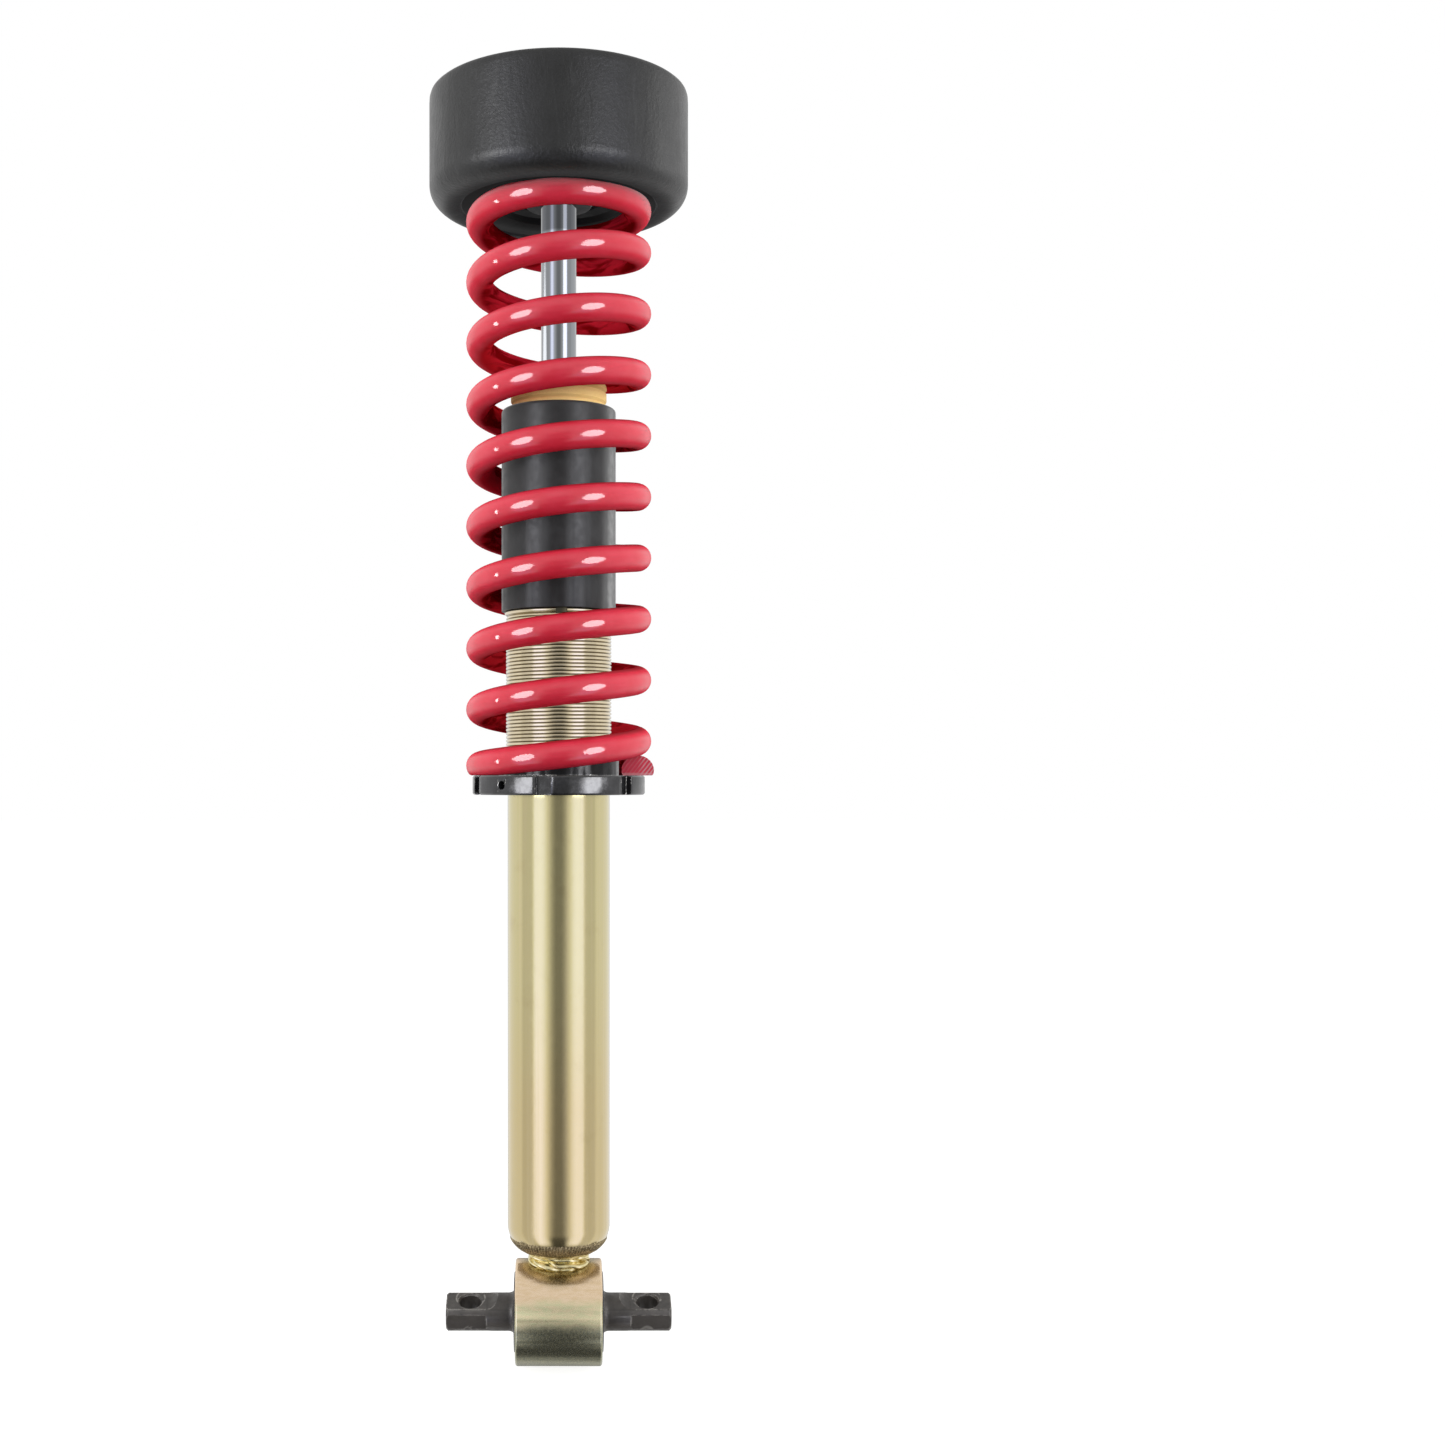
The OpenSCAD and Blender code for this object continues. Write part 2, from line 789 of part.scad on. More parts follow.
module rod_bush(z) {
    ring(spacer_d / 2, bush_d / 2, z, z + bush_h, 1);
}

module lower_rod_bush() {
    color("#202020")
        rod_bush(lower_bush_z);
}

module upper_rod_bush() {
    color("#202020")
        rod_bush(upper_bush_z);
}

module rod_spacer() {
    color("#8a8d90")
        plain_ring(top_stud_d / 2 + running, spacer_d / 2, lower_bush_z - washer_t + washer_web,
            upper_washer_z + washer_t - washer_web);
}

module upper_washer() {
    color("#8a8d90")
        cup_washer(upper_washer_z, false);
}

module rod_nut() {
    corner_d = nut_af / cos(30);
    color("#b5b8ba")
        difference() {
            translate([0, 0, rod_nut_z])
                cylinder(d = corner_d, h = nut_h, $fn = 6);
            plain_ring(0, top_stud_d / 2 + running, rod_nut_z - 1, rod_nut_z + nut_h + 1);
        }
}

// ---- top mount ----

// drawn steel hub: flange under the rubber, wall up to the top plate, web between the bushes
module mount_hub() {
    color("#33353a")
        rotate_extrude()
            polygon([[hub_bore, flange_z], [flange_d / 2, flange_z],
                [flange_d / 2, flange_z + hub_t], [hub_r, flange_z + hub_t], [hub_r, top_z],
                [hub_bore, top_z], [hub_bore, upper_bush_z], [spacer_d / 2 + 3, upper_bush_z],
                [spacer_d / 2 + 3, web_z], [hub_bore, web_z]]);
}

module mount_plate() {
    color("#3a3c40")
        difference() {
            plain_ring(hub_r, plate_r, plate_z, top_z);
            around(insert_count, 90)
                translate([insert_pcd / 2, 0, plate_z - 1])
                    cylinder(d = insert_d, h = plate_t + 2);
        }
}

module mount_inserts() {
    color("#9c9fa3")
        around(insert_count, 90)
            translate([insert_pcd / 2, 0, 0])
                plain_ring(insert_core_d / 2, insert_d / 2, top_z - insert_len, top_z);
}

// moulded rubber round the steel, with a rounded skirt and the spring's pocket
module mount_casing() {
    round_z = skirt_z + casing_round;
    color("#2b2b2b")
        difference() {
            rotate_extrude()
                difference() {
                    union() {
                        translate([hub_r, round_z])
                            square([mount_r - hub_r, top_z - round_z]);
                        translate([hub_r, skirt_z])
                            square([mount_r - casing_round - hub_r, casing_round]);
                        translate([mount_r - casing_round, round_z])
                            circle(r = casing_round);
                    }
                    translate([0, skirt_z - 1])
                        square([pocket_r, flange_z - skirt_z + 1]);
                    translate([0, flange_z])
                        square([flange_d / 2, hub_t]);
                    translate([0, plate_z])
                        square([plate_r, plate_t + 1]);
                }
            around(insert_count, 90)
                translate([insert_pcd / 2, 0, top_z - insert_len])
                    cylinder(d = insert_d, h = insert_len + 1);
        }
}

module spring_pad() {
    color("#1f1f1f")
        plain_ring(coil_d / 2 - wire_r - 2, pocket_r, seat_z, flange_z);
}

bar_pin();
bush_rubber();
bush_shell();
lower_eye();
eye_weld();
damper_tube();
sleeve_clip();
guide_sleeve();
bump_stop();
gland();
gland_o_ring();
rod_bearing();
rod_seal();
rod_wiper();
gland_retainer();
divider_piston();
divider_o_ring();
perch_ring();
perch_screw();
coil_spring();
piston_rod();
piston();
piston_band();
compression_shims();
rebound_shims();
piston_nut();
backing_washer();
rebound_stop();
lower_washer();
lower_rod_bush();
rod_spacer();
upper_rod_bush();
upper_washer();
rod_nut();
mount_hub();
mount_plate();
mount_inserts();
mount_casing();
spring_pad();
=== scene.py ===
"""The coilover's looks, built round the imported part.

Metres, from the middle of the bar pin: +Z up the damper's axis, +X along the pin, -Y towards the camera."""

import json
import math

import bpy
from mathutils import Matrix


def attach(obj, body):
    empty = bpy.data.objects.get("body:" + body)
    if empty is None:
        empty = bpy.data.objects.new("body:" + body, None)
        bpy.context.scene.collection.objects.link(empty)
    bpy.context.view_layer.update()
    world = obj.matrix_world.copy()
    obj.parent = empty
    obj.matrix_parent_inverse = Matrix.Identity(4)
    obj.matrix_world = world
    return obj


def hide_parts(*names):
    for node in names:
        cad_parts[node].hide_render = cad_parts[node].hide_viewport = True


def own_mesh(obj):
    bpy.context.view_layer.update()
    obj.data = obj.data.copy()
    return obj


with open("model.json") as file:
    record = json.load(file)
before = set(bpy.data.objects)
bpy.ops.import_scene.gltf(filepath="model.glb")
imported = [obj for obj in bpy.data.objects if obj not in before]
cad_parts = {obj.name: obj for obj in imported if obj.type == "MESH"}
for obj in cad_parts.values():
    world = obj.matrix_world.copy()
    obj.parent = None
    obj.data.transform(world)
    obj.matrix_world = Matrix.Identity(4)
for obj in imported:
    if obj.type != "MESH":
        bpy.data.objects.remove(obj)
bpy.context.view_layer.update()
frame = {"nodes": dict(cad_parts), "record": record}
MM = 0.001

# ---- sizes repeated from part.scad, in millimetres ----

EYE_R, EYE_HALF = 26.0, 21.5
RUBBER_R, BARREL_R = 20.0, 10.75                    # the lower bush: its outside, and the pin's barrel in it
HOLE_X, FLAT_TILT = 44.0, math.radians(21)          # the pin's bolt holes, and the lean of its flats
TUBE_R, BORE_R, TUBE_Z, TUBE_TOP = 25.5, 23.0, 29.8, 445.8
CORNER_R, CORNER_Z, CORNER = 9.8, 44.6, 15.7        # centre and radius of the foot's rounding
THREAD_R, THREAD_Z, THREAD_TOP, THREAD_PITCH = 26.3, 261.8, 347.8, 1.8
SLEEVE_Z = 349.8
WIRE_R, COIL_R, TURNS = 6.75, 39.5, 10.22
SPRING_Z, SPRING_LEN, GRIND, DEAD_RISE = 268.1, 284.0, 2.55, 14.4
TIP_ANGLE = math.radians(-5)
BUMP_R = 24.5
ROD_R, ROD_END, ROD_TOP = 8.75, 306.0, 604.7
POST_R, SHOULDER_Z, STUD_R = 6.0, 341.8, 7.0        # the rod's piston post and its upper stud
SEAT_Z, SKIRT_Z, FLANGE_Z, PLATE_Z, TOP_Z = 552.2, 551.2, 555.7, 600.5, 606.5
MOUNT_R, CASING_ROUND, POCKET_R, PLATE_R = 64.5, 10.5, 48.65, 60.0
HUB_R, HUB_T, FLANGE_R = 26.0, 4.0, 56.0
CUSHION_R, CUSHION_BORE, CUSHION_H = 19.5, 10.05, 13.0
LOWER_CUSHION_Z, UPPER_CUSHION_Z = 555.2, 572.2
INSERT_R, INSERT_Z, INSERT_CIRCLE = 8.0, 586.5, 42.0

# ---- sizes that only the scene has, in millimetres ----

FOAM_H = 24.5               # 28 in part.scad; in the photo a strand hides its top
FLOOR_Z = -28.5

# ---- camera ----

CAMERA_BACK, CAMERA_UP = 900.0, 265.8               # millimetres from the damper's axis, and above the pin
PHOTO_SIDE = 1445                                   # pixels, as are the next two
AXIS_LEFT_OF_MIDDLE, LEVEL_BELOW_MIDDLE = 163.8, 57.5

camera_data = bpy.data.cameras.new("camera")
camera_data.sensor_width = 36.0
camera_data.lens = 44.84
camera_data.shift_x = AXIS_LEFT_OF_MIDDLE / PHOTO_SIDE
camera_data.shift_y = LEVEL_BELOW_MIDDLE / PHOTO_SIDE
camera_data.clip_start = 0.02
camera = bpy.data.objects.new("camera", camera_data)
camera.location = (0.0, -CAMERA_BACK * MM, CAMERA_UP * MM)
camera.rotation_euler = (math.radians(90), 0.0, 0.0)
bpy.context.collection.objects.link(camera)
scene = bpy.context.scene
scene.camera = camera
scene.view_settings.view_transform = "Standard"


# ---- shader graphs ----

def srgb(r, g, b):
    """A linear colour from the 0 to 255 values in which it is seen on a screen."""
    def linear(v):
        v /= 255.0
        return v / 12.92 if v <= 0.04045 else ((v + 0.055) / 1.055) ** 2.4
    return (linear(r), linear(g), linear(b), 1.0)


def grey(value):
    """A linear grey."""
    return (value, value, value, 1.0)


class Nodes:
    """Short calls that add nodes to a shader tree. A value is a number, a colour or another node's socket."""

    def __init__(self, tree):
        self.tree = tree
        tree.nodes.clear()

    def node(self, kind, **settings):
        made = self.tree.nodes.new(kind)
        for name, value in settings.items():
            setattr(made, name, value)
        return made

    def put(self, value, socket):
        if isinstance(value, bpy.types.NodeSocket):
            self.tree.links.new(value, socket)
        else:
            socket.default_value = value

    def calc(self, what, a, b=0.0):
        made = self.node("ShaderNodeMath", operation=what)
        self.put(a, made.inputs[0])
        self.put(b, made.inputs[1])
        return made.outputs[0]

    def plus(self, a, b):
        return self.calc("ADD", a, b)

    def minus(self, a, b):
        return self.calc("SUBTRACT", a, b)

    def times(self, a, b):
        return self.calc("MULTIPLY", a, b)

    def away(self, value, middle):
        """How far a value is from a middle one."""
        return self.calc("ABSOLUTE", self.minus(value, middle))

    def length(self, x, y):
        """The length of a vector with two parts."""
        return self.calc("SQRT", self.plus(self.times(x, x), self.times(y, y)))

    def span(self, value, low, high, to_low=0.0, to_high=1.0):
        """A soft step: to_low up to low, to_high from high on."""
        made = self.node("ShaderNodeMapRange", interpolation_type="SMOOTHSTEP")
        self.put(value, made.inputs["Value"])
        for name, number in (("From Min", low), ("From Max", high), ("To Min", to_low), ("To Max", to_high)):
            made.inputs[name].default_value = number
        return made.outputs["Result"]

    def blend(self, share, a, b):
        """A number: a where share is 0, b where it is 1."""
        return self.plus(self.times(a, self.minus(1.0, share)), self.times(b, share))

    def mix(self, share, a, b):
        """A colour: a where share is 0, b where it is 1."""
        made = self.node("ShaderNodeMix", data_type="RGBA")
        self.put(share, made.inputs[0])
        self.put(a, made.inputs[6])
        self.put(b, made.inputs[7])
        return made.outputs[2]

    def split(self, vector):
        """The X, Y and Z of a vector."""
        made = self.node("ShaderNodeSeparateXYZ")
        self.put(vector, made.inputs[0])
        return made.outputs


materials = {}              # by slot


class Surface(Nodes):
    """A material with one Principled shader, in the object's own coordinates."""

    def __init__(self, slot, base, rough=0.5, metal=0.0, **sockets):
        material = bpy.data.materials.new(slot)
        materials[slot] = material
        material.use_nodes = True
        material.diffuse_color = base
        super().__init__(material.node_tree)
        self.material = material
        output = self.node("ShaderNodeOutputMaterial")
        self.shader = self.node("ShaderNodeBsdfPrincipled")
        self.put(self.shader.outputs["BSDF"], output.inputs["Surface"])
        self.set("Base Color", base)
        self.set("Roughness", rough)
        self.set("Metallic", metal)
        for name, value in sockets.items():
            self.set(name.replace("_", " "), value)
        coordinates = self.node("ShaderNodeTexCoord")
        self.place = coordinates.outputs["Object"]
        self.normal = coordinates.outputs["Normal"]

    def set(self, name, value):
        self.put(value, self.shader.inputs[name])

    def axis(self, name):
        return self.split(self.place)[name]

    def radius(self):
        """Distance from the damper's axis."""
        return self.length(self.axis("X"), self.axis("Y"))

    def normal_z(self):
        """How far the surface faces up, in the object's own frame."""
        return self.split(self.normal)["Z"]

    def dot(self, a, b):
        made = self.node("ShaderNodeVectorMath", operation="DOT_PRODUCT")
        self.put(a, made.inputs[0])
        self.put(b, made.inputs[1])
        return made.outputs["Value"]

    def mapped(self, scale=(1.0, 1.0, 1.0), turn=(0.0, 0.0, 0.0), kind="POINT"):
        """The object's own coordinates, squeezed along each axis or turned."""
        made = self.node("ShaderNodeMapping", vector_type=kind)
        self.put(self.place, made.inputs["Vector"])
        made.inputs["Scale"].default_value = scale
        made.inputs["Rotation"].default_value = turn
        return made.outputs["Vector"]

    def noise(self, scale, detail=3.0, rough=0.5, at=None, distort=0.0):
        made = self.node("ShaderNodeTexNoise")
        self.put(at or self.place, made.inputs["Vector"])
        made.inputs["Scale"].default_value = scale
        made.inputs["Detail"].default_value = detail
        made.inputs["Roughness"].default_value = rough
        made.inputs["Distortion"].default_value = distort
        return made.outputs["Fac"]

    def cells(self, scale):
        """Distance to the nearest of scattered points."""
        made = self.node("ShaderNodeTexVoronoi", feature="F1")
        self.put(self.place, made.inputs["Vector"])
        made.inputs["Scale"].default_value = scale
        return made.outputs["Distance"]

    def bands(self, scale, distort, detail=1.0, along="Z", at=None):
        """Even waves along one axis: turning marks, where that is Z."""
        made = self.node("ShaderNodeTexWave", wave_type="BANDS", bands_direction=along)
        self.put(at or self.place, made.inputs["Vector"])
        made.inputs["Scale"].default_value = scale
        made.inputs["Distortion"].default_value = distort
        made.inputs["Detail"].default_value = detail
        return made.outputs["Fac"]

    def edges(self, width, low, high):
        """One along sharp edges, nothing elsewhere."""
        bevel = self.node("ShaderNodeBevel", samples=6)
        bevel.inputs["Radius"].default_value = width
        plain = self.node("ShaderNodeNewGeometry").outputs["Normal"]
        return self.span(self.minus(1.0, self.dot(bevel.outputs["Normal"], plain)), low, high)

    def bump(self, height, depth, strength=1.0, under=None):
        """A surface normal tilted by a height, on top of another one."""
        made = self.node("ShaderNodeBump")
        self.put(height, made.inputs["Height"])
        made.inputs["Distance"].default_value = depth
        made.inputs["Strength"].default_value = strength
        if under:
            self.put(under, made.inputs["Normal"])
        return made.outputs["Normal"]


# ---- materials: noise scales are per metre, bump depths and edge widths in metres ----

def zinc_plate():
    """Yellow zinc plate with blotches, upright streaks and turned lines.

    It is warmer towards the bottom and champagne on the thread, whose roots are darker with painted shade; a
    small dark patch in front, in the gap under the sleeve, is painted shade too."""
    gap_shade_x, gap_shade_z, gap_shade_half_width, gap_shade_half_height = 1.3, (THREAD_TOP + SLEEVE_Z) / 2, 2.7, 1.1
    low, high = srgb(200, 181, 132), srgb(200, 190, 140)
    g = Surface("gold_zinc", high, 0.13, 1.0, Coat_Weight=0.6, Coat_Roughness=0.08)
    height = g.span(g.axis("Z"), 0.02, 0.26)
    warmth = g.plus(g.times(height, 0.7), g.times(g.noise(14.0, 2.0), 0.5))
    shade = g.mix(g.span(warmth, 0.2, 0.95), low, high)
    stain = g.span(g.noise(60.0, 5.0, 0.6), 0.56, 0.8)
    shade = g.mix(g.times(stain, 0.3), shade, srgb(176, 158, 108))
    streak = g.span(g.noise(300.0, 3.0, 0.6, g.mapped((1.0, 1.0, 0.01))), 0.4, 0.7, 0.0, 0.35)
    shade = g.mix(streak, shade, srgb(214, 196, 156))

    champagne = g.mix(g.noise(200.0, 3.0), srgb(226, 212, 184), srgb(206, 190, 154))
    # the thread's roots darker than its crests: painted shade
    crest = g.span(g.radius(), (TUBE_R + 0.1) * MM, (THREAD_R - 0.2) * MM)
    champagne = g.mix(crest, srgb(152, 137, 106), champagne)
    shade = g.mix(g.span(g.axis("Z"), (THREAD_Z - 0.6) * MM, (THREAD_Z + 0.4) * MM), shade, champagne)

    # a small dark patch in front, in the gap between the thread and the sleeve: painted shade
    front = g.span(g.axis("Y"), -(TUBE_R + 0.5) * MM, -(TUBE_R - 1.0) * MM, 1.0, 0.0)
    across = g.calc("LESS_THAN", g.away(g.axis("X"), gap_shade_x * MM), gap_shade_half_width * MM)
    upright = g.calc("LESS_THAN", g.away(g.axis("Z"), gap_shade_z * MM), gap_shade_half_height * MM)
    g.set("Base Color", g.mix(g.times(g.times(front, across), upright), shade, srgb(60, 62, 56)))
    g.set("Roughness", g.span(g.noise(160.0, 4.0, 0.6), 0.3, 0.75, 0.10, 0.18))
    lines = g.bump(g.bands(900.0, 0.6), 0.00002, 0.25)
    g.set("Normal", g.bump(g.noise(420.0, 3.0), 0.00006, 0.25, lines))


def eye_plate():
    """The eye's thick plating, banded by height: tan above, a greenish painted sheen in the middle, darker
    below with painted shade, and painted shade round the weld's foot.
    """
    low_shade_to_sheen, sheen_to_tan, weld_shade_r = (-0.003, 0.002), (0.009, 0.014), (0.0150, 0.0212)
    g = Surface("eye_plate", srgb(200, 182, 140), 0.24, 1.0)
    wander = g.times(g.minus(g.noise(70.0, 3.0), 0.5), 0.006)
    z = g.plus(g.axis("Z"), wander)
    grain = g.span(g.noise(700.0, 4.0, 0.65, g.mapped((0.3, 1.0, 1.0))), 0.3, 0.7)
    tan = g.mix(grain, srgb(232, 208, 178), srgb(222, 196, 160))
    # the greenish middle band: a painted sheen
    sheen = g.mix(grain, srgb(224, 208, 172), srgb(208, 206, 166))
    # darker below: painted shade of the eye's underside
    low_shade = g.mix(g.span(g.noise(1300.0, 3.0, 0.7), 0.35, 0.65), srgb(142, 144, 126), srgb(178, 174, 144))
    shade = g.mix(g.span(z, *low_shade_to_sheen), low_shade, sheen)
    shade = g.mix(g.span(z, *sheen_to_tan), shade, tan)

    # darker round the weld's foot: painted shade under the weld
    weld_shade = g.span(g.plus(g.radius(), g.times(wander, 0.5)), *weld_shade_r, 1.0, 0.0)
    weld_shade = g.times(weld_shade, g.span(g.axis("Z"), 0.0, 0.01))
    weld_shade_tone = g.mix(g.span(g.noise(900.0, 3.0), 0.4, 0.6), srgb(152, 140, 106), srgb(188, 174, 134))
    shade = g.mix(g.times(weld_shade, 0.9), shade, weld_shade_tone)

    speck = g.times(g.span(g.cells(1500.0), 0.0, 0.28, 1.0, 0.0), g.span(g.noise(500.0, 3.0), 0.35, 0.6))
    speck = g.times(speck, g.span(z, -0.001, 0.006, 0.5, 0.1))
    g.set("Base Color", g.mix(speck, shade, srgb(96, 92, 66)))
    g.set("Roughness", g.span(g.noise(900.0, 3.0), 0.3, 0.7, 0.23, 0.29))
    g.set("Normal", g.bump(g.noise(1400.0, 3.0, 0.6), 0.00003, 0.5))


def weld_plate():
    """The same plating on the weld: glossier, pale with brown blotches."""
    g = Surface("weld_gold", srgb(222, 206, 150), 0.14, 1.0)
    blotches = g.span(g.noise(170.0, 4.0), 0.42, 0.8)
    g.set("Base Color", g.mix(blotches, srgb(238, 226, 176), srgb(156, 128, 76)))
    g.set("Roughness", g.span(g.noise(400.0, 3.0), 0.3, 0.7, 0.1, 0.24))
    g.set("Normal", g.bump(g.noise(600.0, 2.0), 0.00005, 0.25))


def dome_skin():
    """The band where the body's foot was spun shut: brown and rough."""
    g = Surface("dome_skin", srgb(140, 126, 92), 0.4, 0.85)
    grit = g.span(g.noise(1100.0, 3.0, 0.6), 0.4, 0.7)
    g.set("Base Color", g.mix(grit, srgb(122, 106, 76), srgb(196, 178, 134)))
    g.set("Normal", g.bump(g.noise(900.0, 3.0), 0.0001, 0.6))


def forging():
    """Phosphated forging: dark scale, rubbed edges, a parting line, a washer's mark round each hole, and
    painted light on the faces that look down.
    """
    mark_r, parting_slope = 7.1, -0.38
    g = Surface("forged_steel", srgb(74, 70, 67), 0.42, 0.15)
    scale = g.mix(g.span(g.noise(110.0, 6.0, 0.65), 0.3, 0.7), srgb(56, 53, 51), srgb(78, 74, 70))
    rubbed = g.span(g.noise(300.0, 3.0), 0.38, 0.55)
    along = g.minus(g.calc("ABSOLUTE", g.axis("X")), HOLE_X * MM)
    across = g.calc("DIVIDE", g.axis("Y"), math.cos(FLAT_TILT))
    mark = g.span(g.away(g.length(along, across), mark_r * MM), 0.0001, 0.0006, 1.0, 0.0)
    worn = g.times(g.edges(0.0012, 0.004, 0.06), rubbed)
    worn = g.calc("MAXIMUM", worn, g.times(mark, g.times(rubbed, 0.8)))
    parting = g.span(g.away(g.axis("Z"), g.times(g.axis("Y"), parting_slope)), 0.0, 0.0004, 1.0, 0.0)
    # lighter where the faces look down: painted light
    scale = g.mix(g.span(g.normal_z(), -0.6, -0.12, 1.0, 0.0), scale, srgb(104, 99, 94))
    scale = g.mix(g.times(parting, 0.5), scale, srgb(40, 37, 36))
    g.set("Base Color", g.mix(g.times(worn, 0.8), scale, srgb(176, 172, 166)))
    g.set("Roughness", g.span(g.noise(500.0, 4.0), 0.3, 0.7, 0.34, 0.55))
    grit = g.bump(g.noise(1500.0, 3.0, 0.6), 0.00005, 0.5)
    g.set("Normal", g.bump(g.noise(140.0, 3.0), 0.0002, 0.35, grit))


def paint():
    """Gloss red powder coat with slight orange peel.

    It is darker inside the coil, painted shade streaked with painted reflections of the strands, and darker
    along the strands' tops, painted shade. Its clear coat fades towards the wire's outline, where the wire
    turns up or down, and inside the coil."""
    flatten = 100000.0          # the height drops out when the vector is normalised
    g = Surface("spring_red", srgb(230, 44, 66), 0.45,
                Specular_IOR_Level=0.0, Coat_Roughness=0.07, Coat_IOR=1.6)
    outward = g.dot(g.mapped((1.0, 1.0, flatten), kind="NORMAL"), g.normal)
    outer_tone = g.mix(g.span(g.noise(75.0, 3.0), 0.3, 0.7), srgb(231, 48, 70), srgb(237, 58, 81))
    # darker along the strands' tops: painted shade
    outer_tone = g.mix(g.span(g.normal_z(), 0.72, 0.96, 0.0, 0.75), outer_tone, srgb(160, 14, 28))
    # dark streaks inside the coil: painted reflections of the strands, over painted shade
    patches = g.noise(70.0, 3.0, 0.5, g.mapped((0.6, 0.6, 3.0)), 0.8)
    inner_shade_and_reflections = g.mix(g.span(patches, 0.42, 0.58), srgb(150, 8, 18), srgb(226, 40, 62))
    g.set("Base Color", g.mix(g.span(outward, -0.35, 0.1), inner_shade_and_reflections, outer_tone))
    facing = g.node("ShaderNodeLayerWeight")
    facing.inputs["Blend"].default_value = 0.5
    coat = g.times(g.span(facing.outputs["Facing"], 0.6, 0.95, 1.0, 0.35),
                   g.span(g.calc("ABSOLUTE", g.normal_z()), 0.35, 0.75, 1.0, 0.1))
    g.set("Coat Weight", g.times(coat, g.span(outward, -0.2, 0.2)))
    peel = g.bump(g.noise(420.0, 2.0, 0.4), 0.00009, 0.5)
    g.set("Normal", peel)
    g.set("Coat Normal", peel)


def cut_face():
    """The wire's cropped end: paint over slanting saw marks that run out towards its lower corner; the marks'
    pale lines are painted highlights.
    """
    g = Surface("spring_cut", srgb(236, 62, 86), 0.5, Specular_IOR_Level=0.1)
    slanted = g.mapped(turn=(0.0, math.radians(-38), 0.0))
    saw = g.bands(190.0, 0.8, 2.0, "X", slanted)
    # the saw marks' pale lines: painted highlights, stronger towards the coil's outside
    outer = g.span(g.axis("X"), (COIL_R - 1.0) * MM, (COIL_R + 3.5) * MM, 0.12, 0.9)
    marks = g.times(g.span(saw, 0.55, 0.95), outer)
    face = g.mix(marks, srgb(252, 84, 108), srgb(255, 196, 204))
    lip = g.span(g.axis("Z"), (SPRING_Z + 0.9) * MM, (SPRING_Z + 1.6) * MM, 0.5, 0.0)
    g.set("Base Color", g.mix(lip, face, srgb(255, 190, 198)))
    g.set("Normal", g.bump(saw, 0.0001, 0.6))


def chrome():
    """Hard chrome, polished along its length; its colour darkens near the mount, a painted reflection of the
    dark mount.
    """
    bright, dark, dark_from = (0.30, 0.312, 0.33, 1.0), (0.13, 0.136, 0.147, 1.0), (0.5375, 0.5395)
    g = Surface("rod_chrome", bright, 0.07, 1.0)
    # darker from dark_from up: painted reflection of the mount
    g.set("Base Color", g.mix(g.span(g.axis("Z"), *dark_from), bright, dark))
    g.set("Roughness", g.span(g.noise(300.0, 3.0, at=g.mapped((1.0, 1.0, 0.1))), 0.3, 0.7, 0.05, 0.11))
    g.set("Normal", g.bump(g.bands(1400.0, 0.0), 0.000004, 0.3))


def satin_black(slot, base, light, rough, level=0.5):
    """A smooth dark finish with faint handling marks."""
    g = Surface(slot, base, rough, Specular_IOR_Level=level)
    g.set("Base Color", g.mix(g.span(g.noise(90.0, 4.0), 0.35, 0.75), base, light))
    g.set("Roughness", g.span(g.noise(260.0, 4.0), 0.3, 0.7, rough - 0.05, rough + 0.08))
    g.set("Normal", g.bump(g.noise(1200.0, 2.0), 0.00003, 0.4))


def anodised():
    """Black anodised alloy, chipped bright along the edges, and duller on the boss inside the spring."""
    g = Surface("anodised_black", srgb(34, 34, 36), 0.2, 0.2)
    tone = g.mix(g.span(g.noise(120.0, 4.0), 0.35, 0.7), srgb(30, 30, 32), srgb(44, 44, 47))
    boss = g.span(g.axis("Z"), SPRING_Z * MM, (SPRING_Z + 0.5) * MM)
    chips = g.times(g.edges(0.0008, 0.02, 0.12), g.span(g.noise(330.0, 4.0, 0.65), 0.5, 0.58))
    g.set("Base Color", g.mix(chips, tone, srgb(222, 220, 214)))
    g.set("Metallic", g.calc("MAXIMUM", chips, 0.15))
    g.set("Specular IOR Level", g.minus(0.8, g.times(boss, 0.6)))
    g.set("Roughness", g.span(g.noise(500.0, 3.0), 0.3, 0.7, 0.14, 0.26))
    lines = g.bump(g.bands(800.0, 0.4), 0.00002, 0.3)
    g.set("Normal", g.bump(g.noise(1300.0, 2.0), 0.00003, 0.4, lines))


def foam():
    """Tan microcellular urethane: matt, finely ringed, pitted with pores, and darker in its grooves with
    painted shade.
    """
    g = Surface("bump_foam", srgb(214, 186, 124), 0.85, Specular_IOR_Level=0.25)
    rings = g.bands(520.0, 1.2)
    tone = g.mix(g.noise(110.0, 4.0), srgb(250, 217, 140), srgb(254, 226, 158))
    tone = g.mix(g.times(rings, 0.22), tone, srgb(222, 174, 100))
    # darker in the two rolled grooves: painted shade
    groove = g.span(g.radius(), (BUMP_R - 1.4) * MM, (BUMP_R - 0.8) * MM, 1.0, 0.0)
    groove = g.times(groove, g.calc("LESS_THAN", g.axis("Z"), (TUBE_TOP + 15.2) * MM))
    tone = g.mix(g.times(groove, 0.35), tone, srgb(150, 108, 60))
    pores = g.span(g.cells(1700.0), 0.0, 0.3, 1.0, 0.0)
    g.set("Base Color", g.mix(g.times(pores, 0.5), tone, srgb(160, 126, 70)))
    holes = g.bump(g.minus(1.0, pores), 0.00012, 0.7)
    g.set("Normal", g.bump(g.minus(1.0, rings), 0.00012, 0.6, holes))


